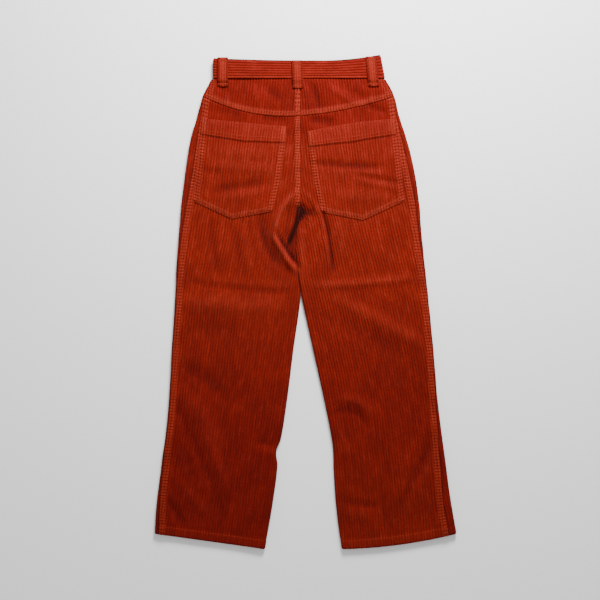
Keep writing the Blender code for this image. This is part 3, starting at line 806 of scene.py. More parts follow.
# %% Pile group
def make_pile_group():
    """Colour, height and roughness of cut pile from the weave's coordinates."""
    group, given, made = new_group("corduroy_pile", {
        "Weave": None, "Allowance": 0.0, "Ladder": 0.0, "Stitches": WALE / STITCH,
        "Fold": 0.0, "Ridge": 0.0, "Nap_Shade": 0.0, "Groove": (0.1, 0.01, 0.004, 1),
        "Crest": (0.4, 0.05, 0.02, 1), "Worn_And_Highlit": (0.6, 0.12, 0.05, 1),
        "Nap_Shade_Tint": (0.82, 0.54, 0.7, 1), "Wear": 0.3})

    def work(operation, *values, clamp=False):
        return math_node(group, operation, *values, clamp=clamp)

    def noise(across, along, detail, roughness=0.55):
        return noise_node(group, stretched(group, given["Weave"], across, along), 1.0, detail,
                          roughness)

    split = group.nodes.new("ShaderNodeSeparateXYZ")
    group.links.new(given["Weave"], split.inputs[0])
    tufts, streaks = noise(4.0, 1.5, 3.0, 0.65), noise(0.8, 0.22, 2.0)
    clouds, felted = noise(0.12, 0.10, 3.0), noise(0.35, 0.22, 3.0)
    rib_tone = noise(0.9, 0.06, 2.0)
    crest = work("SINE", work("MULTIPLY", split.outputs[0], math.pi))
    crest = work("POWER", work("ABSOLUTE", crest), 0.8)
    rung = work("MULTIPLY", work("MULTIPLY", split.outputs[1], given["Stitches"]), math.tau)
    rung = work("MULTIPLY", work("SINE", rung), given["Ladder"])
    rung = work("MULTIPLY", rung, work("MULTIPLY_ADD", streaks, 2.4, -0.3))

    # Ribs show less where the pile is felted and under the painted shade of its lean.
    flat = work("MULTIPLY_ADD", felted, 3.0, -1.0, clamp=True)
    flat = work("MULTIPLY_ADD", given["Nap_Shade"], 0.25, flat)
    relief = work("MULTIPLY", work("SUBTRACT", crest, 0.6), work("SUBTRACT", 1.05, flat))
    shade = work("MULTIPLY_ADD", relief, 0.6, 0.52)
    shade = work("ADD", shade, work("MULTIPLY_ADD", tufts, 1.6, -0.8))
    shade = work("MULTIPLY_ADD", rung, 0.2, shade, clamp=True)
    colour = mix_colour(group, shade, given["Groove"], given["Crest"])

    # Wear makes streaks and shows on seams; on ridges it is wear and a painted highlight.
    wear_and_highlight = work("MULTIPLY", work("MULTIPLY_ADD", streaks, 2.6, -1.25, clamp=True), given["Wear"])
    wear_and_highlight = work("MULTIPLY_ADD", given["Allowance"], 0.32, wear_and_highlight)
    wear_and_highlight = work("MULTIPLY_ADD", given["Ridge"], 0.5, wear_and_highlight)
    colour = mix_colour(group, work("MULTIPLY", wear_and_highlight, shade, clamp=True), colour, given["Worn_And_Highlit"])
    # Painted shade: darker and redder where the pile leans away from the light.
    colour = mix_colour(group, given["Nap_Shade"], colour, given["Nap_Shade_Tint"], "MULTIPLY")

    # Slow clouds, the tone of single ribs and the painted shade of folds and rolled edges.
    cloud = work("MULTIPLY_ADD", rib_tone, 0.54, work("MULTIPLY_ADD", clouds, 0.74, 0.36))
    cloud = work("MULTIPLY", cloud, work("MULTIPLY_ADD", given["Fold"], -0.86, 1.0))
    grey = group.nodes.new("ShaderNodeCombineColor")
    for socket in grey.inputs:
        group.links.new(cloud, socket)
    group.links.new(mix_colour(group, 1.0, colour, grey.outputs[0], "MULTIPLY"), made["Color"])
    height = work("MULTIPLY", tufts, work("ADD", crest, 0.3))
    group.links.new(work("MULTIPLY_ADD", rung, 0.45, height), made["Height"])
    group.links.new(work("MULTIPLY_ADD", tufts, 0.15, 0.8), made["Roughness"])
    return group


PILE = make_pile_group()
print("group:", PILE.name, "with", len(PILE.nodes), "nodes")


# %% Corduroy material
def make_material(name, group, values, finish, bump=None):
    """A material whose shader takes its colour, roughness and bump from one node group.

    values are for the group's inputs and finish for the shader's own; bump is its strength and
    its height in metres. A group that asks for a Vector gets Object coordinates."""
    material = bpy.data.materials.new(name)
    material.use_nodes = True
    tree = material.node_tree
    shader = tree.nodes["Principled BSDF"]
    look = tree.nodes.new("ShaderNodeGroup")
    look.node_tree = group
    for title, value in values.items():
        look.inputs[title].default_value = value
    for title, value in finish.items():
        shader.inputs[title].default_value = value
    if "Vector" in look.inputs:
        place = tree.nodes.new("ShaderNodeTexCoord")
        tree.links.new(place.outputs["Object"], look.inputs["Vector"])
    tree.links.new(look.outputs["Color"], shader.inputs["Base Color"])
    tree.links.new(look.outputs["Roughness"], shader.inputs["Roughness"])
    if bump:
        relief = tree.nodes.new("ShaderNodeBump")
        relief.inputs["Strength"].default_value, relief.inputs["Distance"].default_value = bump
        tree.links.new(look.outputs["Height"], relief.inputs["Height"])
        tree.links.new(relief.outputs[0], shader.inputs["Normal"])
    print("material:", name)
    return material, look


def make_corduroy():
    material, pile = make_material(
        "rust_corduroy", PILE,
        {"Groove": (0.0555, 0.0018, 0.0008, 1), "Crest": (0.211, 0.0105, 0.0051, 1),
         "Worn_And_Highlit": (0.311, 0.0363, 0.0168, 1), "Wear": 0.5},
        {"Specular IOR Level": 0.075, "Sheen Weight": 0.075, "Sheen Roughness": 0.4,
         "Sheen Tint": (1.0, 0.3, 0.16, 1)}, bump=(0.8, 0.0006))
    tree = material.node_tree
    weave = tree.nodes.new("ShaderNodeUVMap")
    weave.uv_map = "weave"
    tree.links.new(weave.outputs[0], pile.inputs["Weave"])
    for title in ("Allowance", "Ladder", "Fold", "Ridge", "Nap_Shade"):
        mark = tree.nodes.new("ShaderNodeAttribute")
        mark.attribute_name = title.lower()
        tree.links.new(mark.outputs["Fac"], pile.inputs[title])
    return material


CORDUROY = make_corduroy()

# %% [markdown]
# ## Leg backs
#
# Each back is one big piece from the yoke seam to the hem. It could end at the leg's inner edge,
# where nobody looks further, but the real one rolls over that edge to the inseam underneath, and
# so does this. Its ribs are straight with the grain, so they run off at the centre seam and make
# the chevrons there. The left back lies on top in the centre seam, so it has the band.

# %% Panels
def panel(kind, half, grain, step, section, samples=RIB_SAMPLES, part=slice(None), **spacing):
    """A piece's levels, its rows, and its sheet read from their section lines. part is the
    stretch of each line, by its points, in which the grain line is looked for."""
    levels, ends = row_levels(kind, half, step, **spacing)
    rows, lines, zeros, limits = [], [], [], []
    for inner_y, outer_y, bow in ends:
        row = Row(half, inner_y, outer_y, bow)
        line, start = section(row)
        arc = arc_length(line)
        reach = across_grain(line, grain)
        zeros.append(grain_zero(line[part], reach[part], grain))
        limits.append(tuple(np.interp((start, arc[-1] - SEAM_GAP / 2), arc, reach)))
        lines.append((line, reach))
        rows.append(row)
    return levels, rows, Sheet(lines, zeros, limits, samples)


def weave_of(place, levels):
    """Weave coordinates of a grid, in ribs, from its places across and its rows' levels."""
    return np.stack(np.broadcast_arrays(place / WALE, levels[:, None] / WALE), axis=-1)


# %% Hems
HEM_DEPTH = 13.0


def hem_press(from_hem):
    """The turned hem: proud of the leg, dented where it is stitched."""
    rise = 0.3 * (1 - soft_step(HEM_DEPTH - 1, HEM_DEPTH + 1.5, from_hem))
    return rise - 0.6 * bell(from_hem, HEM_DEPTH, 0.9) + lip(from_hem, 1.3)


def hem_wall(from_hem):
    """Two layers in the turned hem and one above it."""
    return mix(HEM_WALL, CLOTH, soft_step(HEM_DEPTH - 1, HEM_DEPTH + 1, from_hem))


print("hem wall:", hem_wall(0.0), "mm")

# %% Leg backs
BACK_STEP = 4.4                 # between rows, away from edges and stitches
BACK_FACE = slice(12, 170)      # the points of back_line that face up
FAR = 99.0                      # past the reach of every seam


def make_back(half):
    levels, rows, sheet = panel("back", half, half, BACK_STEP, back_line, part=BACK_FACE,
                                dense=((FORK_Y + 3, 6),))
    points, place, side, inner = sheet.points, sheet.place, sheet.start, sheet.end
    from_top, from_hem = (levels[0] - levels)[:, None], (levels - levels[-1])[:, None]
    parted = np.array([row.parted for row in rows])[:, None]
    centre = np.where(parted, FAR, inner)
    centre = centre if half == "left" else centre + FAR
    tucked = np.array([INSEAM_IN + row.inner_roll * math.pi / 2 if row.wrapped
                       else row.inner_roll * math.radians(FORK_TURN) for row in rows])[:, None]
    from_fold = np.where(parted, inner - tucked, FAR)
    flattened = bell(from_fold, 0, 3.5)
    press = rib_press(place, levels[:, None], WALE, fading=0.9 * flattened)
    press += hem_press(from_hem) + stitched_band(side)
    press += stitched_band(centre, rows=CENTRE_ROWS, width=CENTRE_BAND)
    press += lip(side) + lip(inner) + lip(from_top, 0.7, 0.4)
    press = np.where(points[..., 2] < EDGE_HEIGHT / 2, np.minimum(press, 0), press)
    ladder = np.maximum(band_mask(side), band_mask(centre, CENTRE_BAND))
    # Painted shade in troughs, towards the hem, by the yoke seam and where the back rolls under.
    marks = {"allowance": strongest(ladder, 1.8 * band_mask(centre, CENTRE_BAND),
                                    0.4 * band_mask(from_hem, HEM_DEPTH)),
             "ladder": ladder, **fold_marks(points, 0.8 * soft_step(228, 258, points[..., 1]))}
    marks["nap_shade"] = marks["nap_shade"] * (1 - 0.7 * ladder)
    marks["fold"] = np.maximum(marks["fold"], edge_shade(from_fold))
    return cloth_sheet(f"leg_back_{half}", points, weave_of(place, levels), press, marks,
                       hem_wall(from_hem))


def dress(piece, node):
    """Corduroy for a piece, which joins the root body in place of the node that it stands for."""
    piece.data.materials.clear()
    piece.data.materials.append(CORDUROY)
    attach(piece, "root")
    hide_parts(node)


LEG_BACKS = {half: make_back(half) for half in OUTLINE}
for half, piece in LEG_BACKS.items():
    dress(piece, f"back_{half}")

# %% [markdown]
# ## Leg fronts
#
# The fronts lie on the floor and reach up to the waist, so we see only the strip that has rolled
# round to the top at each side. The same rows serve, walked the other way: from the side seam
# on top, round the edge and along the floor. Four columns a rib are enough there.

# %% Leg fronts
FRONT_STEP = 6.5
FRONT_FACE = slice(36, None)    # the points of front_line that face the floor


def make_front(half):
    levels, rows, sheet = panel("front", half, half, FRONT_STEP, front_line, COARSE_SAMPLES,
                                part=FRONT_FACE, fine=1.6, ends=(6.0, 15.0),
                                dense=((FORK_Y, 4),))
    points, place, side, inner = sheet.points, sheet.place, sheet.start, sheet.end
    from_top, from_hem = (levels[0] - levels)[:, None], (levels - levels[-1])[:, None]
    press = rib_press(place, levels[:, None], WALE, 0.8) + lip(side) + lip(inner) + lip(from_top)
    press += lip(from_hem, 1.3) - 0.3 * bell(from_hem, HEM_DEPTH, 0.9)
    outer = side - np.array([row.seam_arc() for row in rows])[:, None]
    # Painted shade along both rolled edges and towards the hem.
    marks = {"allowance": 0.4 * band_mask(from_hem, HEM_DEPTH),
             "fold": np.maximum(edge_shade(outer), edge_shade(side, 1.8, 0.5)),
             "nap_shade": np.maximum(soft_step(NAP_SHADE_START, NAP_SHADE_END, points[..., 1]), 0.3)}
    return cloth_sheet(f"leg_front_{half}", points, weave_of(place, levels), press, marks,
                       hem_wall(from_hem), face_up=False)


LEG_FRONTS = {half: make_front(half) for half in OUTLINE}
for half, piece in LEG_FRONTS.items():
    dress(piece, f"front_{half}")

# %% [markdown]
# ## Yokes
#
# The yoke is the wedge between waistband and leg back that gives the seat its shape. Both
# allowances are folded up under it, so its lower edge stands proud and carries two rows of
# stitches. A seam drawn on the leg would leave the ribs whole. Here they break, because the yoke
# is a piece of its own, cut on its own grain.

# %% Yokes
YOKE_STEP = 3.4
YOKE_RISE = 0.55       # the allowances lift its lower edge
YOKE_BAND = 8.5
YOKE_ROWS = (2.0, 6.2)


def make_yoke(half):
    levels, _, sheet = panel("yoke", half, f"yoke_{half}", YOKE_STEP, back_line,
                             ends=(4.0, 12.0), fine=1.2)
    points, place, side, inner = sheet.points, sheet.place, sheet.start, sheet.end
    centre = inner if half == "left" else inner + FAR
    share = (levels[0] - levels) / (levels[0] - levels[-1])
    points[..., 2] += YOKE_RISE * share[:, None]
    # Levels lie closer together where the yoke is narrow, so a stitch row keeps its distance.
    depth = points[0, :, 1] - points[-1, :, 1]
    from_seam = (1 - share)[:, None] * depth[None, :]
    from_top = share[:, None] * depth[None, :]
    press = rib_press(place, levels[:, None], WALE)
    press += lip(from_seam, 0.9, 0.7) + lip(inner) + lip(side)
    press += stitched_band(from_seam, rise=0.4, width=YOKE_BAND, rows=YOKE_ROWS)
    press += stitched_band(centre, rows=CENTRE_ROWS, width=CENTRE_BAND)
    press -= 0.4 * bell(from_top, 0, 1.5)
    ladder = np.maximum(band_mask(centre, CENTRE_BAND), 0.6 * band_mask(side))
    on_seam = band_mask(from_seam, YOKE_BAND)
    # Painted shade in its troughs and all over it, less on its seam bands.
    marks = {"allowance": strongest(ladder, 1.5 * on_seam,
                                    1.8 * band_mask(centre, CENTRE_BAND)),
             "ladder": ladder, **fold_marks(points, 0.8)}
    marks["nap_shade"] = marks["nap_shade"] * (1 - 0.7 * np.maximum(on_seam, ladder))
    return cloth_sheet(f"yoke_cloth_{half}", points, weave_of(place, levels), press, marks,
                       CLOTH)


YOKES = {half: make_yoke(half) for half in OUTLINE}
for half, piece in YOKES.items():
    dress(piece, f"yoke_{half}")

# %% [markdown]
# ## Patch pockets
#
# A patch pocket is a five-sided piece with a deep turned top, laid on the leg back and stitched
# down twice along its sides and point. Its ribs tilt with it. A Shrinkwrap modifier could lay it
# on the leg, but it would take over the leg's ribs. We draw its plan with two numbers, one from
# side to side and one from top to point, and lay it over the height of the back without ribs.

# %% Pocket sizes
POCKETS = {
    # top_in, top_out, low_out, point, low_in, top_bow, in_bow, out_bow
    "left": ((-28.5, 262.5), (-154.5, 274.5), (-168.5, 150.5), (-110.5, 123.5), (-49.5, 135.0),
             0.0, 4.0, 0.0),
    "right": ((3.0, 255.0), (133.0, 274.0), (148.5, 150.5), (86.0, 121.5), (24.0, 134.0),
              3.0, -3.5, 1.5),
}
POCKET_DEPTH = 127.0
POCKET_BAND = 24.0     # the turned top
POCKET_TOP_ROWS = (3.0, POCKET_BAND - 6.0, POCKET_BAND - 1.8)
POCKET_ROWS = (1.7, 7.6)
POCKET_LOW_BAND = 8.5
POCKET_AIR = 0.6
POCKET_SINK = 0.8      # how far the stitches pull its edges in
print("pocket band:", POCKET_BAND, "mm deep with stitches at", POCKET_TOP_ROWS)


# %% Pocket plan
def pocket_plan(half, across, down):
    """Plan points of a pocket: across from its inner to its outer side, down to its point."""
    top_in, top_out, low_out, point, low_in = (np.array(p) for p in POCKETS[half][:5])
    top_bow, in_bow, out_bow = POCKETS[half][5:]
    across, down = np.broadcast_arrays(across, down)
    top = mix(top_in, top_out, across[..., None])
    low = np.where(across[..., None] < 0.5, mix(low_in, point, 2 * across[..., None]),
                   mix(point, low_out, 2 * across[..., None] - 1))
    plan = mix(top, low, down[..., None])
    plan[..., 0] += arch(down) * mix(in_bow, out_bow, across)
    plan[..., 1] += arch(across) * (1 - down) * top_bow
    return plan


def distance_to(points, path):
    """Plan distance from each point to a path of corners."""
    best = np.full(points.shape[:2], 1e9)
    for start, end in zip(path[:-1], path[1:]):
        run = end - start
        share = ((points[..., :2] - start) @ run / (run @ run)).clip(0, 1)
        gap = points[..., :2] - (start + share[..., None] * run)
        best = np.minimum(best, np.linalg.norm(gap, axis=-1))
    return best


def pocket_edge(half, edge, inset=0.0):
    """Plan points along one of a pocket's edges, inset by a distance."""
    share = np.linspace(0, 1, 61)
    if edge == "low":
        path = pocket_plan(half, share, 1.0)
    elif edge == "top":
        path = pocket_plan(half, share, 0.0)
    else:
        path = pocket_plan(half, 0.0 if edge == "inner" else 1.0, share)
    if inset:
        middle = pocket_plan(half, 0.5, 0.45)
        run = np.gradient(path, axis=0)
        square = np.stack([-run[:, 1], run[:, 0]], axis=1)
        square /= np.linalg.norm(square, axis=1)[:, None]
        square *= np.sign(((middle - path) * square).sum(axis=1))[:, None]
        path = path + inset * square
    return path


print("pocket opening:", round(arc_length(pocket_edge("left", "top"))[-1]), "mm")


# %% Patch pockets
def make_pocket(half):
    down = np.concatenate([np.arange(0, 4, 1.1), np.arange(4, 21, 3.2), np.arange(21, 29, 1.1),
                           np.arange(29, POCKET_DEPTH - 12, 3.6),
                           np.linspace(POCKET_DEPTH - 12, POCKET_DEPTH, 12)]) / POCKET_DEPTH
    lines, zeros, limits = [], [], []
    for level in down:
        plan = pocket_plan(half, np.linspace(1, 0, 181), level)
        height = top_height(half, plan[:, 0], plan[:, 1]) + CLOTH
        line = np.column_stack([plan, height])
        reach = across_grain(line, f"pocket_{half}")
        zeros.append(grain_zero(line, reach, f"pocket_{half}"))
        limits.append((0.0, reach[-1]))
        lines.append((line, reach))
    sheet = Sheet(lines, zeros, limits, RIB_SAMPLES)
    points, place, sides = sheet.points, sheet.place, np.minimum(sheet.start, sheet.end)
    from_top = down[:, None] * POCKET_DEPTH
    low = distance_to(points, pocket_edge(half, "low"))
    in_band = 1 - soft_step(POCKET_BAND - 0.9, POCKET_BAND + 0.9, from_top)
    edge = np.minimum(sides, low)
    sewn = 1 - soft_step(1.0, 9.0, edge)
    points[..., 2] += POCKET_AIR * (1 - sewn) - POCKET_SINK * sewn
    below_band = bell(from_top, POCKET_BAND + 1.2, 1.3)
    press = rib_press(place, from_top, WALE) + 1.1 * in_band - 0.3 * below_band
    press += stitched_band(np.where(from_top < POCKET_BAND, FAR, sides), rise=0.35,
                           rows=POCKET_ROWS)
    press += stitched_band(low, rise=0.2, width=POCKET_LOW_BAND, rows=POCKET_ROWS, dent=0.4)
    press += lip(sides) + lip(low, 1.1) + lip(from_top, 1.1)
    for row in POCKET_TOP_ROWS:
        press -= 0.35 * bell(from_top, row, 0.8)
    ladder = band_mask(sides, 9.0) * (1 - in_band)
    # Painted shade in troughs, below the turned top, round its outline and on the turned top.
    marks = {"allowance": strongest(ladder, 1.8 * band_mask(low, POCKET_LOW_BAND),
                                    0.4 * in_band, 1.7 * in_band * band_mask(sides, 7)),
             "ladder": ladder, **fold_marks(points)}
    outline = np.minimum(edge, from_top)
    marks["fold"] = strongest(marks["fold"], 0.45 * below_band, edge_shade(outline, 0.9, 0.25))
    marks["nap_shade"] = np.maximum(marks["nap_shade"], 0.25 * in_band)
    return cloth_sheet(f"patch_pocket_{half}", points, weave_of(place, -down * POCKET_DEPTH),
                       press, marks, CLOTH - POCKET_SINK * sewn)


PATCHES = {half: make_pocket(half) for half in OUTLINE}
for half, piece in PATCHES.items():
    dress(piece, f"pocket_{half}")

# %% [markdown]
# ## Waistband
#
# The band is one strip folded along its top edge, so its ribs run round the waist, and its ends
# lap at the centre front, where it buttons. A bevelled box has the shape, but no lap and no ribs
# that run round. We walk once round the flattened waist, and stack that path from the seam to the
# top edge, this time with the ribs one above the other.

# %% Waistband path
WAIST_Y = 334.0        # the seam below the band
BAND_DEPTH = 29.0
BAND_TOP = 10.0        # height of its outer face
BAND_WALL = 2.9
BAND_LEFT, BAND_RIGHT = -138.8, 119.5
BAND_RIGHT_LEAN = 7.0  # its right end is further in at the top
BAND_DIP_X = 20.0      # its top edge is lowest here
BAND_ROW = 2.4         # its stitches, from the seam
LAP_WALL = 1.4         # each end is pressed thin where they lap
LAP_LEFT, LAP_RIGHT = -30.0, 14.0


def band_top_y(x):
    """The top edge dips at the middle and climbs to both ends."""
    left = 3.5 * ((x - BAND_DIP_X) / (BAND_LEFT - BAND_DIP_X)) ** 2
    right = 9.0 * ((x - BAND_DIP_X) / (BAND_RIGHT - BAND_RIGHT_LEAN - BAND_DIP_X)) ** 2
    return WAIST_Y + BAND_DEPTH - 2.0 + np.where(x < BAND_DIP_X, left, right)


def band_path(share):
    """Once round at a share of the depth: from the underlap, over the back, to the overlap."""
    right = BAND_RIGHT - BAND_RIGHT_LEAN * share
    radius = (BAND_TOP - FRONT_LIFT) / 2
    middle = (BAND_TOP + FRONT_LIFT) / 2
    lap_z = FRONT_LIFT + LAP_WALL + SEAM_GAP
    turn = np.linspace(-90, 90, 13)
    cosine, sine = np.cos(np.radians(turn)), np.sin(np.radians(turn))
    parts = [np.column_stack([np.linspace(LAP_RIGHT, BAND_LEFT + radius, 40),
                              np.full(40, FRONT_LIFT)]),
             np.column_stack([BAND_LEFT + radius - radius * cosine, middle + radius * sine])]
    over = np.linspace(BAND_LEFT + radius, right - radius, 90)[1:-1]
    puff = 0.35 * np.sin(0.055 * over + 0.8) + 0.25 * np.sin(0.12 * over)
    parts.append(np.column_stack([over, BAND_TOP + puff * arch((over - over[0])
                                                               / (over[-1] - over[0]))]))
    parts.append(np.column_stack([right - radius + radius * cosine[::-1],
                                  middle + radius * sine[::-1]]))
    tail = np.linspace(right - radius, LAP_RIGHT + 2.5, 24)[1:]
    parts.append(np.column_stack([tail, np.full(len(tail), FRONT_LIFT)]))
    lap = np.linspace(LAP_RIGHT + 1.0, LAP_LEFT, 12)
    parts.append(np.column_stack([lap, np.full(len(lap), lap_z)]))
    return np.concatenate(parts)


print("once round:", round(arc_length(band_path(0))[-1]), "mm")


# %% Waistband
def make_waistband():
    samples = np.append(rib_positions(0, BAND_DEPTH, BAND_WALE, RIB_SAMPLES), BAND_DEPTH)
    samples = np.unique(samples[(samples >= 0) & (samples <= BAND_DEPTH)])
    shares = samples[::-1] / BAND_DEPTH
    points, depth = [], []
    for share in shares:
        path = band_path(share)
        bottom = WAIST_Y + SEAM_GAP / 2
        y = mix(bottom, band_top_y(path[:, 0]), share)
        points.append(np.column_stack([path[:, 0], y, path[:, 1]]))
        depth.append((band_top_y(path[:, 0]) - bottom) * share)
    points, depth = np.array(points), np.array(depth)
    along = arc_length(points[-1])[None, :] + 0 * depth
    from_top = depth[0][None, :] - depth
    place = samples[::-1, None] + 0 * depth
    press = rib_press(place, along, BAND_WALE, 0.55)
    press += lip(depth, 0.9, 0.6) + lip(from_top, 1.6, 1.3)
    press -= 0.4 * bell(depth, BAND_ROW, 0.8)
    in_lap = ((points[..., 2] < (FRONT_LIFT + BAND_TOP) / 2) & (points[..., 0] > LAP_LEFT - 1.5)
              & (points[..., 0] < LAP_RIGHT + 1.5))
    wall = np.where(in_lap, LAP_WALL, BAND_WALL)
    press = np.where(in_lap, 0.3 * press, press)
    weave = np.stack([place / BAND_WALE, along / BAND_WALE], axis=-1)
    # Painted shade along its top edge and all over it, darker towards its right end.
    return cloth_sheet("waistband_cloth", points, weave, press,
                       {"allowance": 0.25 * band_mask(depth, 4.0),
                        "fold": edge_shade(from_top, 1.1, 0.7),
                        "nap_shade": 0.35 + 0.3 * soft_step(20, 120, points[..., 0])}, wall,
                       face_up=False)


BAND = make_waistband()
dress(BAND, "waistband")

# %% [markdown]
# ## Belt loops
#
# A loop is a narrow strip folded in three and sewn down both long edges, so its middle stands
# up between two lines of stitches. Its top is tacked near the band's edge, and its foot is
# folded under and tacked on the yoke. A curve with a flat bevel would bend as well, but a grid
# takes the same ribs and wall as the rest. Three loops are on the back, two under the front.

# %% Belt loops
LOOP_WIDTH = 16.0
LOOP_ROW = 3.0         # its two lines of stitches, from its edges
LOOP_TACK = 5.0        # the top is tacked here, below its end
LOOP_FOLD = 4.6        # the foot is tacked here, above its fold
LOOPS = {
    # layer, top_x, foot_x, top_y, foot_y
    "loop_back_left": ("back", -123.7, -123.7, 365.6, 321.5),
    "loop_back_centre": ("back", -13.0, -11.2, 361.2, 319.0),
    "loop_back_right": ("back", 97.5, 102.0, 366.8, 322.0),
    "loop_front_left": ("front", -75.0, -76.0, 361.0, 319.0),
    "loop_front_right": ("front", 57.0, 58.0, 361.0, 319.0),
}


def loop_height(x, y, share):
    """Outer face of a back loop: bridged over the band, then down on the yoke."""
    half = "left" if x < CENTRE_X else "right"
    over_band = BAND_TOP + SEAM_GAP + CLOTH + 0.1 + 0.8 * arch(share)
    on_yoke = top_height(half, x, y) + YOKE_RISE + CLOTH
    return mix(on_yoke, over_band, soft_step(WAIST_Y - 8.0, WAIST_Y - 2.0, y))


def make_loop(node):
    layer, top_x, foot_x, top_y, foot_y = LOOPS[node]
    length = top_y - foot_y
    levels = np.unique(np.concatenate([np.linspace(0, 8, 9), np.arange(8, length - 9, 2.2),
                                       np.linspace(length - 9, length, 12)]))
    sides = np.linspace(-0.5, 0.5, 29) * LOOP_WIDTH
    down, side = np.meshgrid(levels, sides, indexing="ij")
    share = down / length
    x = mix(top_x, foot_x, share) + side * (1 - 0.04 * arch(share))
    y = mix(top_y, foot_y, share)
    if layer == "back":
        z = np.array([[float(loop_height(mix(top_x, foot_x, level / length),
                                         mix(top_y, foot_y, level / length), level / length))]
                      for level in levels]) + 0 * side
    else:
        z = 0 * side
    edge = LOOP_WIDTH / 2 - np.abs(side)
    press = rib_press(side + WALE / 2, down, WALE, 0.55) + lip(edge, 0.9, 0.8)
    press -= 0.55 * bell(edge, LOOP_ROW, 0.8)
    press += lip(down, 1.0, 0.8) + lip(length - down, 0.8, 0.8)
    for tack in (LOOP_TACK, length - LOOP_FOLD):
        press -= 0.7 * bell(down, tack, 0.9)
    if layer == "front":
        press = np.minimum(press, 0)
    weave = np.stack([side / WALE + 0.5, -down / WALE], axis=-1)
    # Painted shade in the stitch dents, at the top tack and along the edges; the middle is paler.
    in_dent = bell(edge, LOOP_ROW, 1.1) + bell(down, LOOP_TACK, 1.0)
    marks = {"allowance": np.where(down < 6.5, 1.2, 0.8) * (edge > 3.2),
             "fold": np.clip(0.55 * in_dent + edge_shade(edge, 1.6, 0.35), 0, 1)}
    return cloth_sheet(f"{node}_cloth", np.stack([x, y, z], axis=-1), weave, press, marks,
                       CLOTH, face_up=layer == "back")


LOOP_PIECES = {node: make_loop(node) for node in LOOPS}
for node, piece in LOOP_PIECES.items():
    dress(piece, node)

# %% [markdown]
# ## Fly shield
#
# Behind the front opening a plain strip keeps the closure off the skin. It lies between the two
# layers, so nobody sees it here, and a small plain grid is enough.

# %% Fly shield
FLY_WIDTH = 38.0
FLY_END_Y = 205.0
FLY_WALL = 1.3


def make_fly():
    levels = np.linspace(WAIST_Y - SEAM_GAP, FLY_END_Y, 40)
    sides = CENTRE_X + np.linspace(-0.5, 0.5, 38) * FLY_WIDTH
    y, x = np.meshgrid(levels, sides, indexing="ij")
    z = under_height(y) + 2.0 + 2 * SEAM_GAP
    weave = np.stack([x / WALE, y / WALE], axis=-1)
    press = 0.25 * (rib_shape(x, WALE) - 1)
    return cloth_sheet("fly_shield", np.stack([x, y, z], axis=-1), weave, press, {},
                       FLY_WALL, face_up=False)


dress(make_fly(), "fly")

# %% [markdown]
# ## Thread
#
# Topstitching thread is thicker than the thread inside a seam, dyed to match and a little
# glossy. A dashed line in the material is enough from afar, but real beads of thread catch the
# light and cast shadows. One stitch, sunk at both ends, is modelled once and copied along every
# seam. A ray from above or below finds how high the cloth lies under it.

# %% One stitch
def make_template():
    """A unit bead lying along X."""
    deselect_all()
    bpy.ops.mesh.primitive_uv_sphere_add(segments=6, ring_count=5, radius=0.5,
                                         location=(0, 0, 0), rotation=(0, math.pi / 2, 0))
    bead = bpy.context.object
    bpy.ops.object.transform_apply(location=False, rotation=True, scale=False)
    corners = np.array([tuple(vertex.co) for vertex in bead.data.vertices])
    faces = [tuple(face.vertices) for face in bead.data.polygons]
    bpy.data.objects.remove(bead, do_unlink=True)
    corners[:, 0] = np.sign(corners[:, 0]) * (np.abs(corners[:, 0]) * 2) ** 0.8 / 2
    return corners, faces


BEAD, BEAD_FACES = make_template()
THREAD = 0.75          # thickness of the topstitching thread
print("faces in a stitch:", len(BEAD_FACES))


# %% Stitches along a path
def cloth_level(surfaces, x, y, above=True):
    """Height of the highest cloth at a plan point, or the lowest one seen from below."""
    if isinstance(surfaces, float):
        return surfaces
    start = (x * MM, y * MM, 0.06 if above else -0.06)
    way = (0, 0, -1 if above else 1)
    hits = [surface.ray_cast(start, way) for surface in surfaces]
    levels = [hit[1].z / MM for hit in hits if hit[0]]
    if not levels:
        return None
    return max(levels) if above else min(levels)


def walk(path, pitch, margin=1.5):
    """Centres and directions of stitches along a plan path."""
    path = np.asarray(path, float)[:, :2]
    arc = arc_length(path)
    count = int((arc[-1] - 2 * margin) // pitch)
    spare = (arc[-1] - count * pitch) / 2
    at = spare + (np.arange(count) + 0.5) * pitch
    centre = np.column_stack([np.interp(at, arc, path[:, axis]) for axis in (0, 1)])
    ahead = np.column_stack([np.interp(at + 0.5, arc, path[:, axis]) for axis in (0, 1)])
    way = ahead - centre
    return centre, way / np.linalg.norm(way, axis=1)[:, None]


print("stitches in 100 mm:", len(walk([(0, 0), (100, 0)], STITCH)[0]))


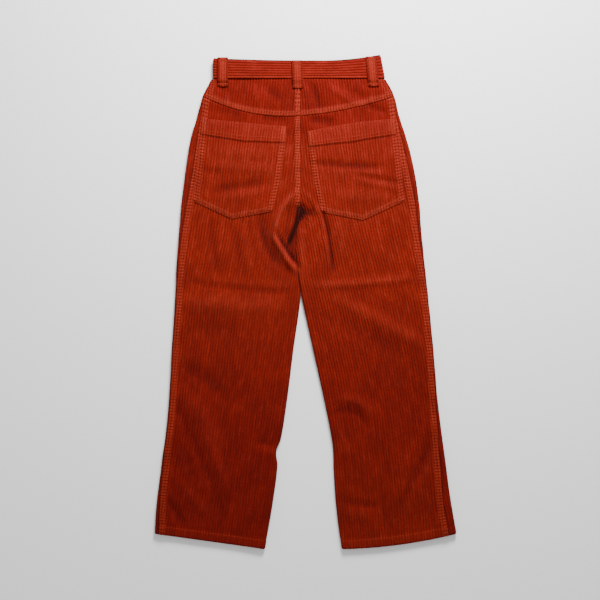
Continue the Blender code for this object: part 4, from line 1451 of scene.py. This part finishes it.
# %% A piece of stitches
class Thread:
    """Collects stitches, then makes one piece of them."""

    def __init__(self):
        self.corners, self.faces, self.count = [], [], 0

    def stitch(self, centre, way, surfaces, length, above=True, sink=0.12, thick=THREAD):
        half = length * 0.4
        heights = [cloth_level(surfaces, *(centre + way * part), above)
                   for part in (-half, -half / 2, 0, half / 2, half)]
        if any(height is None for height in heights):
            return
        proudest = max if above else min
        start, end = proudest(heights[:3]), proudest(heights[2:])
        if abs(end - start) > 1.2:
            return
        side = 1 if above else -1
        run = np.array([*(way * 2 * half), end - start])
        along = run / np.linalg.norm(run)
        up = np.array([0, 0, side]) - along * along[2] * side
        up /= np.linalg.norm(up)
        across = np.cross(up, along)
        middle = np.array([*centre, (start + end) / 2]) + up * (thick / 2 - thick * 0.42 - sink)
        shape = BEAD * (length * 0.84, thick, thick * 0.8)
        shape = middle + shape[:, :1] * along + shape[:, 1:2] * across + shape[:, 2:] * up
        offset = len(self.corners) * len(BEAD)
        self.corners.append(shape)
        self.faces += [tuple(index + offset for index in face) for face in BEAD_FACES]
        self.count += 1

    def row(self, path, surfaces, pitch=STITCH, above=True):
        for centre, way in zip(*walk(path, pitch)):
            wobble = rng.normal(0, 0.12, 2)
            self.stitch(centre + wobble, way, surfaces, pitch, above)

    def tack(self, start, end, surfaces, above=True):
        """A bar tack: short stitches side by side across a strip."""
        start, end = np.array(start, float), np.array(end, float)
        way = (end - start) / np.linalg.norm(end - start)
        square = np.array([-way[1], way[0]])
        for at in np.arange(0.4, np.linalg.norm(end - start), 0.85):
            self.stitch(start + way * at, square, surfaces, 2.6, above, sink=-0.15)

    def piece(self, name):
        mesh = bpy.data.meshes.new(name)
        mesh.from_pydata((np.concatenate(self.corners) * MM).tolist(), [], self.faces)
        mesh.shade_smooth()
        obj = bpy.data.objects.new(name, mesh)
        bpy.context.collection.objects.link(obj)
        obj.data.materials.append(THREAD_MATERIAL)
        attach(obj, "root")
        print(f"{name}: {self.count} stitches, {triangle_count(mesh)} triangles")
        return obj


# %% [markdown]
# ## Thread material
#
# Twisted thread is a fine rope: its plies catch the light as slanting bands. They are too fine
# to model, so one node group turns a wave across the stitch into a bump and into painted light
# and shade in its colour, and a slow noise makes some stitches paler.

# %% Thread material
def make_twist_group():
    group, given, made = new_group("thread_twist", {
        "Vector": None, "Thread": (0.5, 0.07, 0.03, 1), "Shade": (0.3, 0.03, 0.01, 1)})
    wave = group.nodes.new("ShaderNodeTexWave")
    wave.bands_direction = "DIAGONAL"
    wave.inputs["Scale"].default_value = 900.0
    wave.inputs["Distortion"].default_value = 0.6
    group.links.new(given["Vector"], wave.inputs["Vector"])
    patches = noise_node(group, given["Vector"], 260.0, 2.0)
    share = math_node(group, "MULTIPLY_ADD", wave.outputs["Fac"], 0.35, 0.1)
    share = math_node(group, "MULTIPLY_ADD", patches, 0.7, share, clamp=True)
    group.links.new(mix_colour(group, share, given["Shade"], given["Thread"]), made["Color"])
    group.links.new(wave.outputs["Fac"], made["Height"])
    rough = math_node(group, "MULTIPLY_ADD", patches, 0.2, 0.55)
    group.links.new(rough, made["Roughness"])
    return group


THREAD_MATERIAL, _ = make_material(
    "matched_thread", make_twist_group(),
    {"Thread": (0.296, 0.0267, 0.0104, 1), "Shade": (0.163, 0.0096, 0.0037, 1)},
    {"Specular IOR Level": 0.09}, bump=(0.4, 0.0001))

# %% [markdown]
# ## Sewing the back
#
# Now the rows of stitches follow the seams: two along each side seam, two beside the centre seam
# on its left, two above each yoke seam, three across each pocket's turned top and two round its
# sides and point. Each row is the seam's own path, moved in by the row's distance.

# %% Sewing the back
def side_row(kind, half, distance):
    """Plan path beside the side seam, on the back's side of it."""
    path = []
    for inner_y, outer_y, bow in row_levels(kind, half, 8.0)[1]:
        line, start = back_line(Row(half, inner_y, outer_y, bow))
        arc = arc_length(line)
        path.append([np.interp(start + distance, arc, line[:, axis]) for axis in (0, 1)])
    return path


def yoke_row(half, distance):
    """Plan path above the yoke seam."""
    last = row_levels("yoke", half, 8.0)[1][-1]
    row = Row(half, *last)
    x, y = row.plan(np.linspace(0.8, row.width - row.seam_in - 1.5, 60))
    return np.column_stack([x, y + distance])


thread = Thread()
for half in OUTLINE:
    back, yoke, patch = LEG_BACKS[half], YOKES[half], PATCHES[half]
    for distance in ROWS_OF_STITCH:
        thread.row(side_row("back", half, distance), [back])
        thread.row(side_row("yoke", half, distance), [yoke])
    for distance in YOKE_ROWS:
        thread.row(yoke_row(half, distance), [yoke])
    for inset in POCKET_ROWS:
        for edge in ("inner", "outer", "low"):
            path = pocket_edge(half, edge, inset)
            trim = slice(4, -4) if edge == "low" and inset > 5 else slice(1, -1)
            thread.row(path[trim], [patch])
    for down in POCKET_TOP_ROWS:
        path = pocket_plan(half, np.linspace(0.015, 0.985, 60), down / POCKET_DEPTH)
        thread.row(path, [patch])
centre_stitches = [CENTRE_X - 0.1 - distance for distance in CENTRE_ROWS]
for x in centre_stitches:
    thread.row([(x, 277), (x, FORK_Y + 5)], [LEG_BACKS["left"]])
    thread.row([(x, 332), (x, 279.5)], [YOKES["left"]])
print("stitches so far:", thread.count)

# %% Sewing the band, loops, hems and front
def band_row(above):
    """Plan path above the waist seam, on the band's back or on its front."""
    path = band_path(BAND_ROW / BAND_DEPTH)
    if above:
        path = path[path[:, 1] > (FRONT_LIFT + BAND_TOP) / 2 + 2.6]
    else:
        path = path[path[:, 1] < FRONT_LIFT + 0.4]
        path = path[np.argsort(path[:, 0])]
    return [(x, WAIST_Y + BAND_ROW) for x, _ in path]


for above in (True, False):
    thread.row(band_row(above), [BAND], above=above)
for node, (layer, top_x, foot_x, top_y, foot_y) in LOOPS.items():
    above, piece = layer == "back", LOOP_PIECES[node]
    for side in (LOOP_ROW - LOOP_WIDTH / 2, LOOP_WIDTH / 2 - LOOP_ROW):
        thread.row([(top_x + side, top_y - 1), (foot_x + side, foot_y + LOOP_FOLD)], [piece],
                   above=above)
    for y in (top_y - LOOP_TACK, foot_y + LOOP_FOLD):
        x = mix(top_x, foot_x, (top_y - y) / (top_y - foot_y))
        thread.tack((x - 6.6, y), (x + 6.6, y), [piece], above)
for half in OUTLINE:
    for piece, above in ((LEG_BACKS[half], True), (LEG_FRONTS[half], False)):
        levels, ends = row_levels("back", half, 1.0)
        row = Row(half, *ends[np.argmin(abs(levels - levels[-1] - HEM_DEPTH))])
        x, y = row.plan(np.linspace(2.0, row.width - 2.0, 80))
        thread.row(np.column_stack([x, y]), [piece], above=above)
turn = np.radians(np.linspace(0, 80, 12))
fly_stitch = [(CENTRE_X - 33, y) for y in np.linspace(332, 232, 20)]
fly_stitch += [(CENTRE_X - 3 - 30 * math.cos(a), 232 - 26 * math.sin(a)) for a in turn]
thread.row(fly_stitch, [LEG_FRONTS["left"]], above=False)
for x in centre_stitches:
    thread.row([(x, 204), (x, FORK_Y + 5)], [LEG_FRONTS["left"]], above=False)
thread.piece("topstitching")

# %% [markdown]
# ## Button
#
# The waistband closes with one sew-through button, here face down under the front. A profile
# could be spun into it. We work as its maker does instead, from a disc: the rim is left proud,
# the face is dished inside it, and four holes are drilled by Boolean modifiers.

# %% Button sizes
RIM_WIDTH = 1.6
DISH_DEPTH = 0.6
HOLE_RADIUS = 0.9
HOLE_OUT = 1.9         # from the button's middle
print("button holes:", 2 * HOLE_RADIUS, "mm wide")


# %% Speckle group
def make_speckle_group(name, noise, dark, pale, roughness):
    """Two colours in slow speckles; noise is scale, detail and roughness of the pattern."""
    group, given, made = new_group(name, {"Vector": None}, ("Color", "Roughness"))
    speckle = noise_node(group, given["Vector"], *noise)
    group.links.new(mix_colour(group, speckle, dark, pale), made["Color"])
    rough = math_node(group, "MULTIPLY_ADD", speckle, *roughness)
    group.links.new(rough, made["Roughness"])
    return group


# %% Button
def select_underside(obj):
    """Select, in edit mode, the faces that look down."""
    bpy.ops.object.mode_set(mode="OBJECT")
    for face in obj.data.polygons:
        face.select = face.normal.z < -0.9
    bpy.ops.object.mode_set(mode="EDIT")


def make_button():
    low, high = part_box("button")
    centre = [(a + b) / 2 for a, b in zip(low, high)]
    deselect_all()
    bpy.ops.mesh.primitive_cylinder_add(vertices=48, radius=(high[0] - low[0]) / 2,
                                        depth=high[2] - low[2], location=centre)
    button = bpy.context.object
    button.name = "sewn_button"
    bpy.ops.object.transform_apply(location=True, rotation=False, scale=False)
    bpy.ops.object.mode_set(mode="EDIT")
    bpy.ops.mesh.select_mode(type="FACE")
    select_underside(button)
    bpy.ops.mesh.inset(thickness=RIM_WIDTH * MM)
    bpy.ops.mesh.inset(thickness=DISH_DEPTH * MM)
    bpy.ops.transform.translate(value=(0, 0, DISH_DEPTH * MM))
    bpy.ops.object.mode_set(mode="OBJECT")
    bevel = button.modifiers.new("soft_rim", "BEVEL")
    bevel.limit_method = "ANGLE"
    bevel.angle_limit = math.radians(40)
    bevel.width, bevel.segments = 0.4 * MM, 2
    holes = []
    for turn in range(4):
        angle = math.radians(45 + 90 * turn)
        deselect_all()
        bpy.ops.mesh.primitive_cylinder_add(
            vertices=16, radius=HOLE_RADIUS * MM, depth=6.0 * MM,
            location=(centre[0] + HOLE_OUT * MM * math.cos(angle),
                      centre[1] + HOLE_OUT * MM * math.sin(angle), centre[2]))
        holes.append(bpy.context.object)
        drill = button.modifiers.new("hole", "BOOLEAN")
        drill.object = holes[-1]
    apply_modifiers(button)
    for hole in holes:
        bpy.data.objects.remove(hole, do_unlink=True)
    select_only(button)
    bpy.ops.object.shade_smooth_by_angle(angle=math.radians(35))
    return button


BUTTON = make_button()
MARBLE = make_speckle_group("button_marble", (380.0, 4.0, 0.6), (0.041, 0.012, 0.006, 1),
                            (0.14, 0.052, 0.022, 1), (0.2, 0.22))
BUTTON_MATERIAL, _ = make_material("brown_button", MARBLE, {}, {})
BUTTON.data.materials.append(BUTTON_MATERIAL)
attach(BUTTON, "root")
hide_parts("button")
print("button faces:", len(BUTTON.data.polygons))

# %% Button thread
sewing = Thread()
low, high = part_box("button")
middle = np.array([(low[0] + high[0]) / 2, (low[1] + high[1]) / 2]) / MM
across = np.array([1.0, 0.0])
for pair in (-1.35, 1.35):
    for step in (-0.3, 0.3):
        sewing.stitch(middle + (0, pair + step), across, DISH_DEPTH, 3.4,
                      above=False, sink=0.0, thick=0.55)
sewing.piece("button_thread")

# %% [markdown]
# ## Floor, light and camera
#
# Cloth shows its folds only when light rakes over it. A soft lamp stands low beyond the waist,
# so the waist end is the brightest and every crease gets a light side and a dark side. A wide
# lamp overhead and a pale world keep the shadows open. The camera looks straight down through a
# long lens, so the outline stays true.

# %% Floor
def make_floor():
    """A wide sheet of paper, just under the cloth."""
    deselect_all()
    bpy.ops.mesh.primitive_plane_add(size=6.0, location=(0, 0, -0.0003))
    floor = bpy.context.object
    floor.name = "pale_floor"
    grain = make_speckle_group("paper_grain", (300.0, 3.0), (0.94, 0.94, 0.935, 1),
                               (0.965, 0.965, 0.96, 1), (0.1, 0.85))
    paper, _ = make_material("matt_paper", grain, {}, {})
    floor.data.materials.append(paper)


make_floor()

# %% Lamps
def add_lamp(name, place, aim, size, power):
    bpy.ops.object.light_add(type="AREA", location=place)
    lamp = bpy.context.object
    lamp.name = name
    lamp.data.shape = "DISK"
    lamp.data.size = size
    lamp.data.energy = power
    lamp.visible_camera = False
    way = [a - b for a, b in zip(aim, place)]
    lamp.rotation_euler = (math.atan2(math.hypot(way[0], way[1]), -way[2]), 0.0,
                           math.atan2(-way[0], way[1]))
    print(f"{name}: {power} W")


add_lamp("raking_lamp", place=(0.2, 1.0, 0.68), aim=(0, 0.15, 0), size=0.5, power=38)
add_lamp("overhead_lamp", place=(-0.2, -0.2, 2.2), aim=(0, 0, 0), size=1.8, power=8.1)
world = bpy.data.worlds.new("pale_studio")
world.use_nodes = True
sky = world.node_tree.nodes["Background"]
sky.inputs["Color"].default_value = (1, 1, 1, 1)
sky.inputs["Strength"].default_value = 0.47
bpy.context.scene.world = world

# %% Camera
CAMERA_HEIGHT = 2.5
BESIDE, AHEAD = -0.0082, 0.003     # the trousers lie a little off the picture's middle
low, high = cad_box
bpy.ops.object.camera_add(location=((low[0] + high[0]) / 2 + BESIDE,
                                    (low[1] + high[1]) / 2 + AHEAD, CAMERA_HEIGHT),
                          rotation=(0, 0, 0))
camera = bpy.context.object
camera.data.lens = 100.0
bpy.context.scene.camera = camera
print("camera at", [round(value, 4) for value in camera.location])
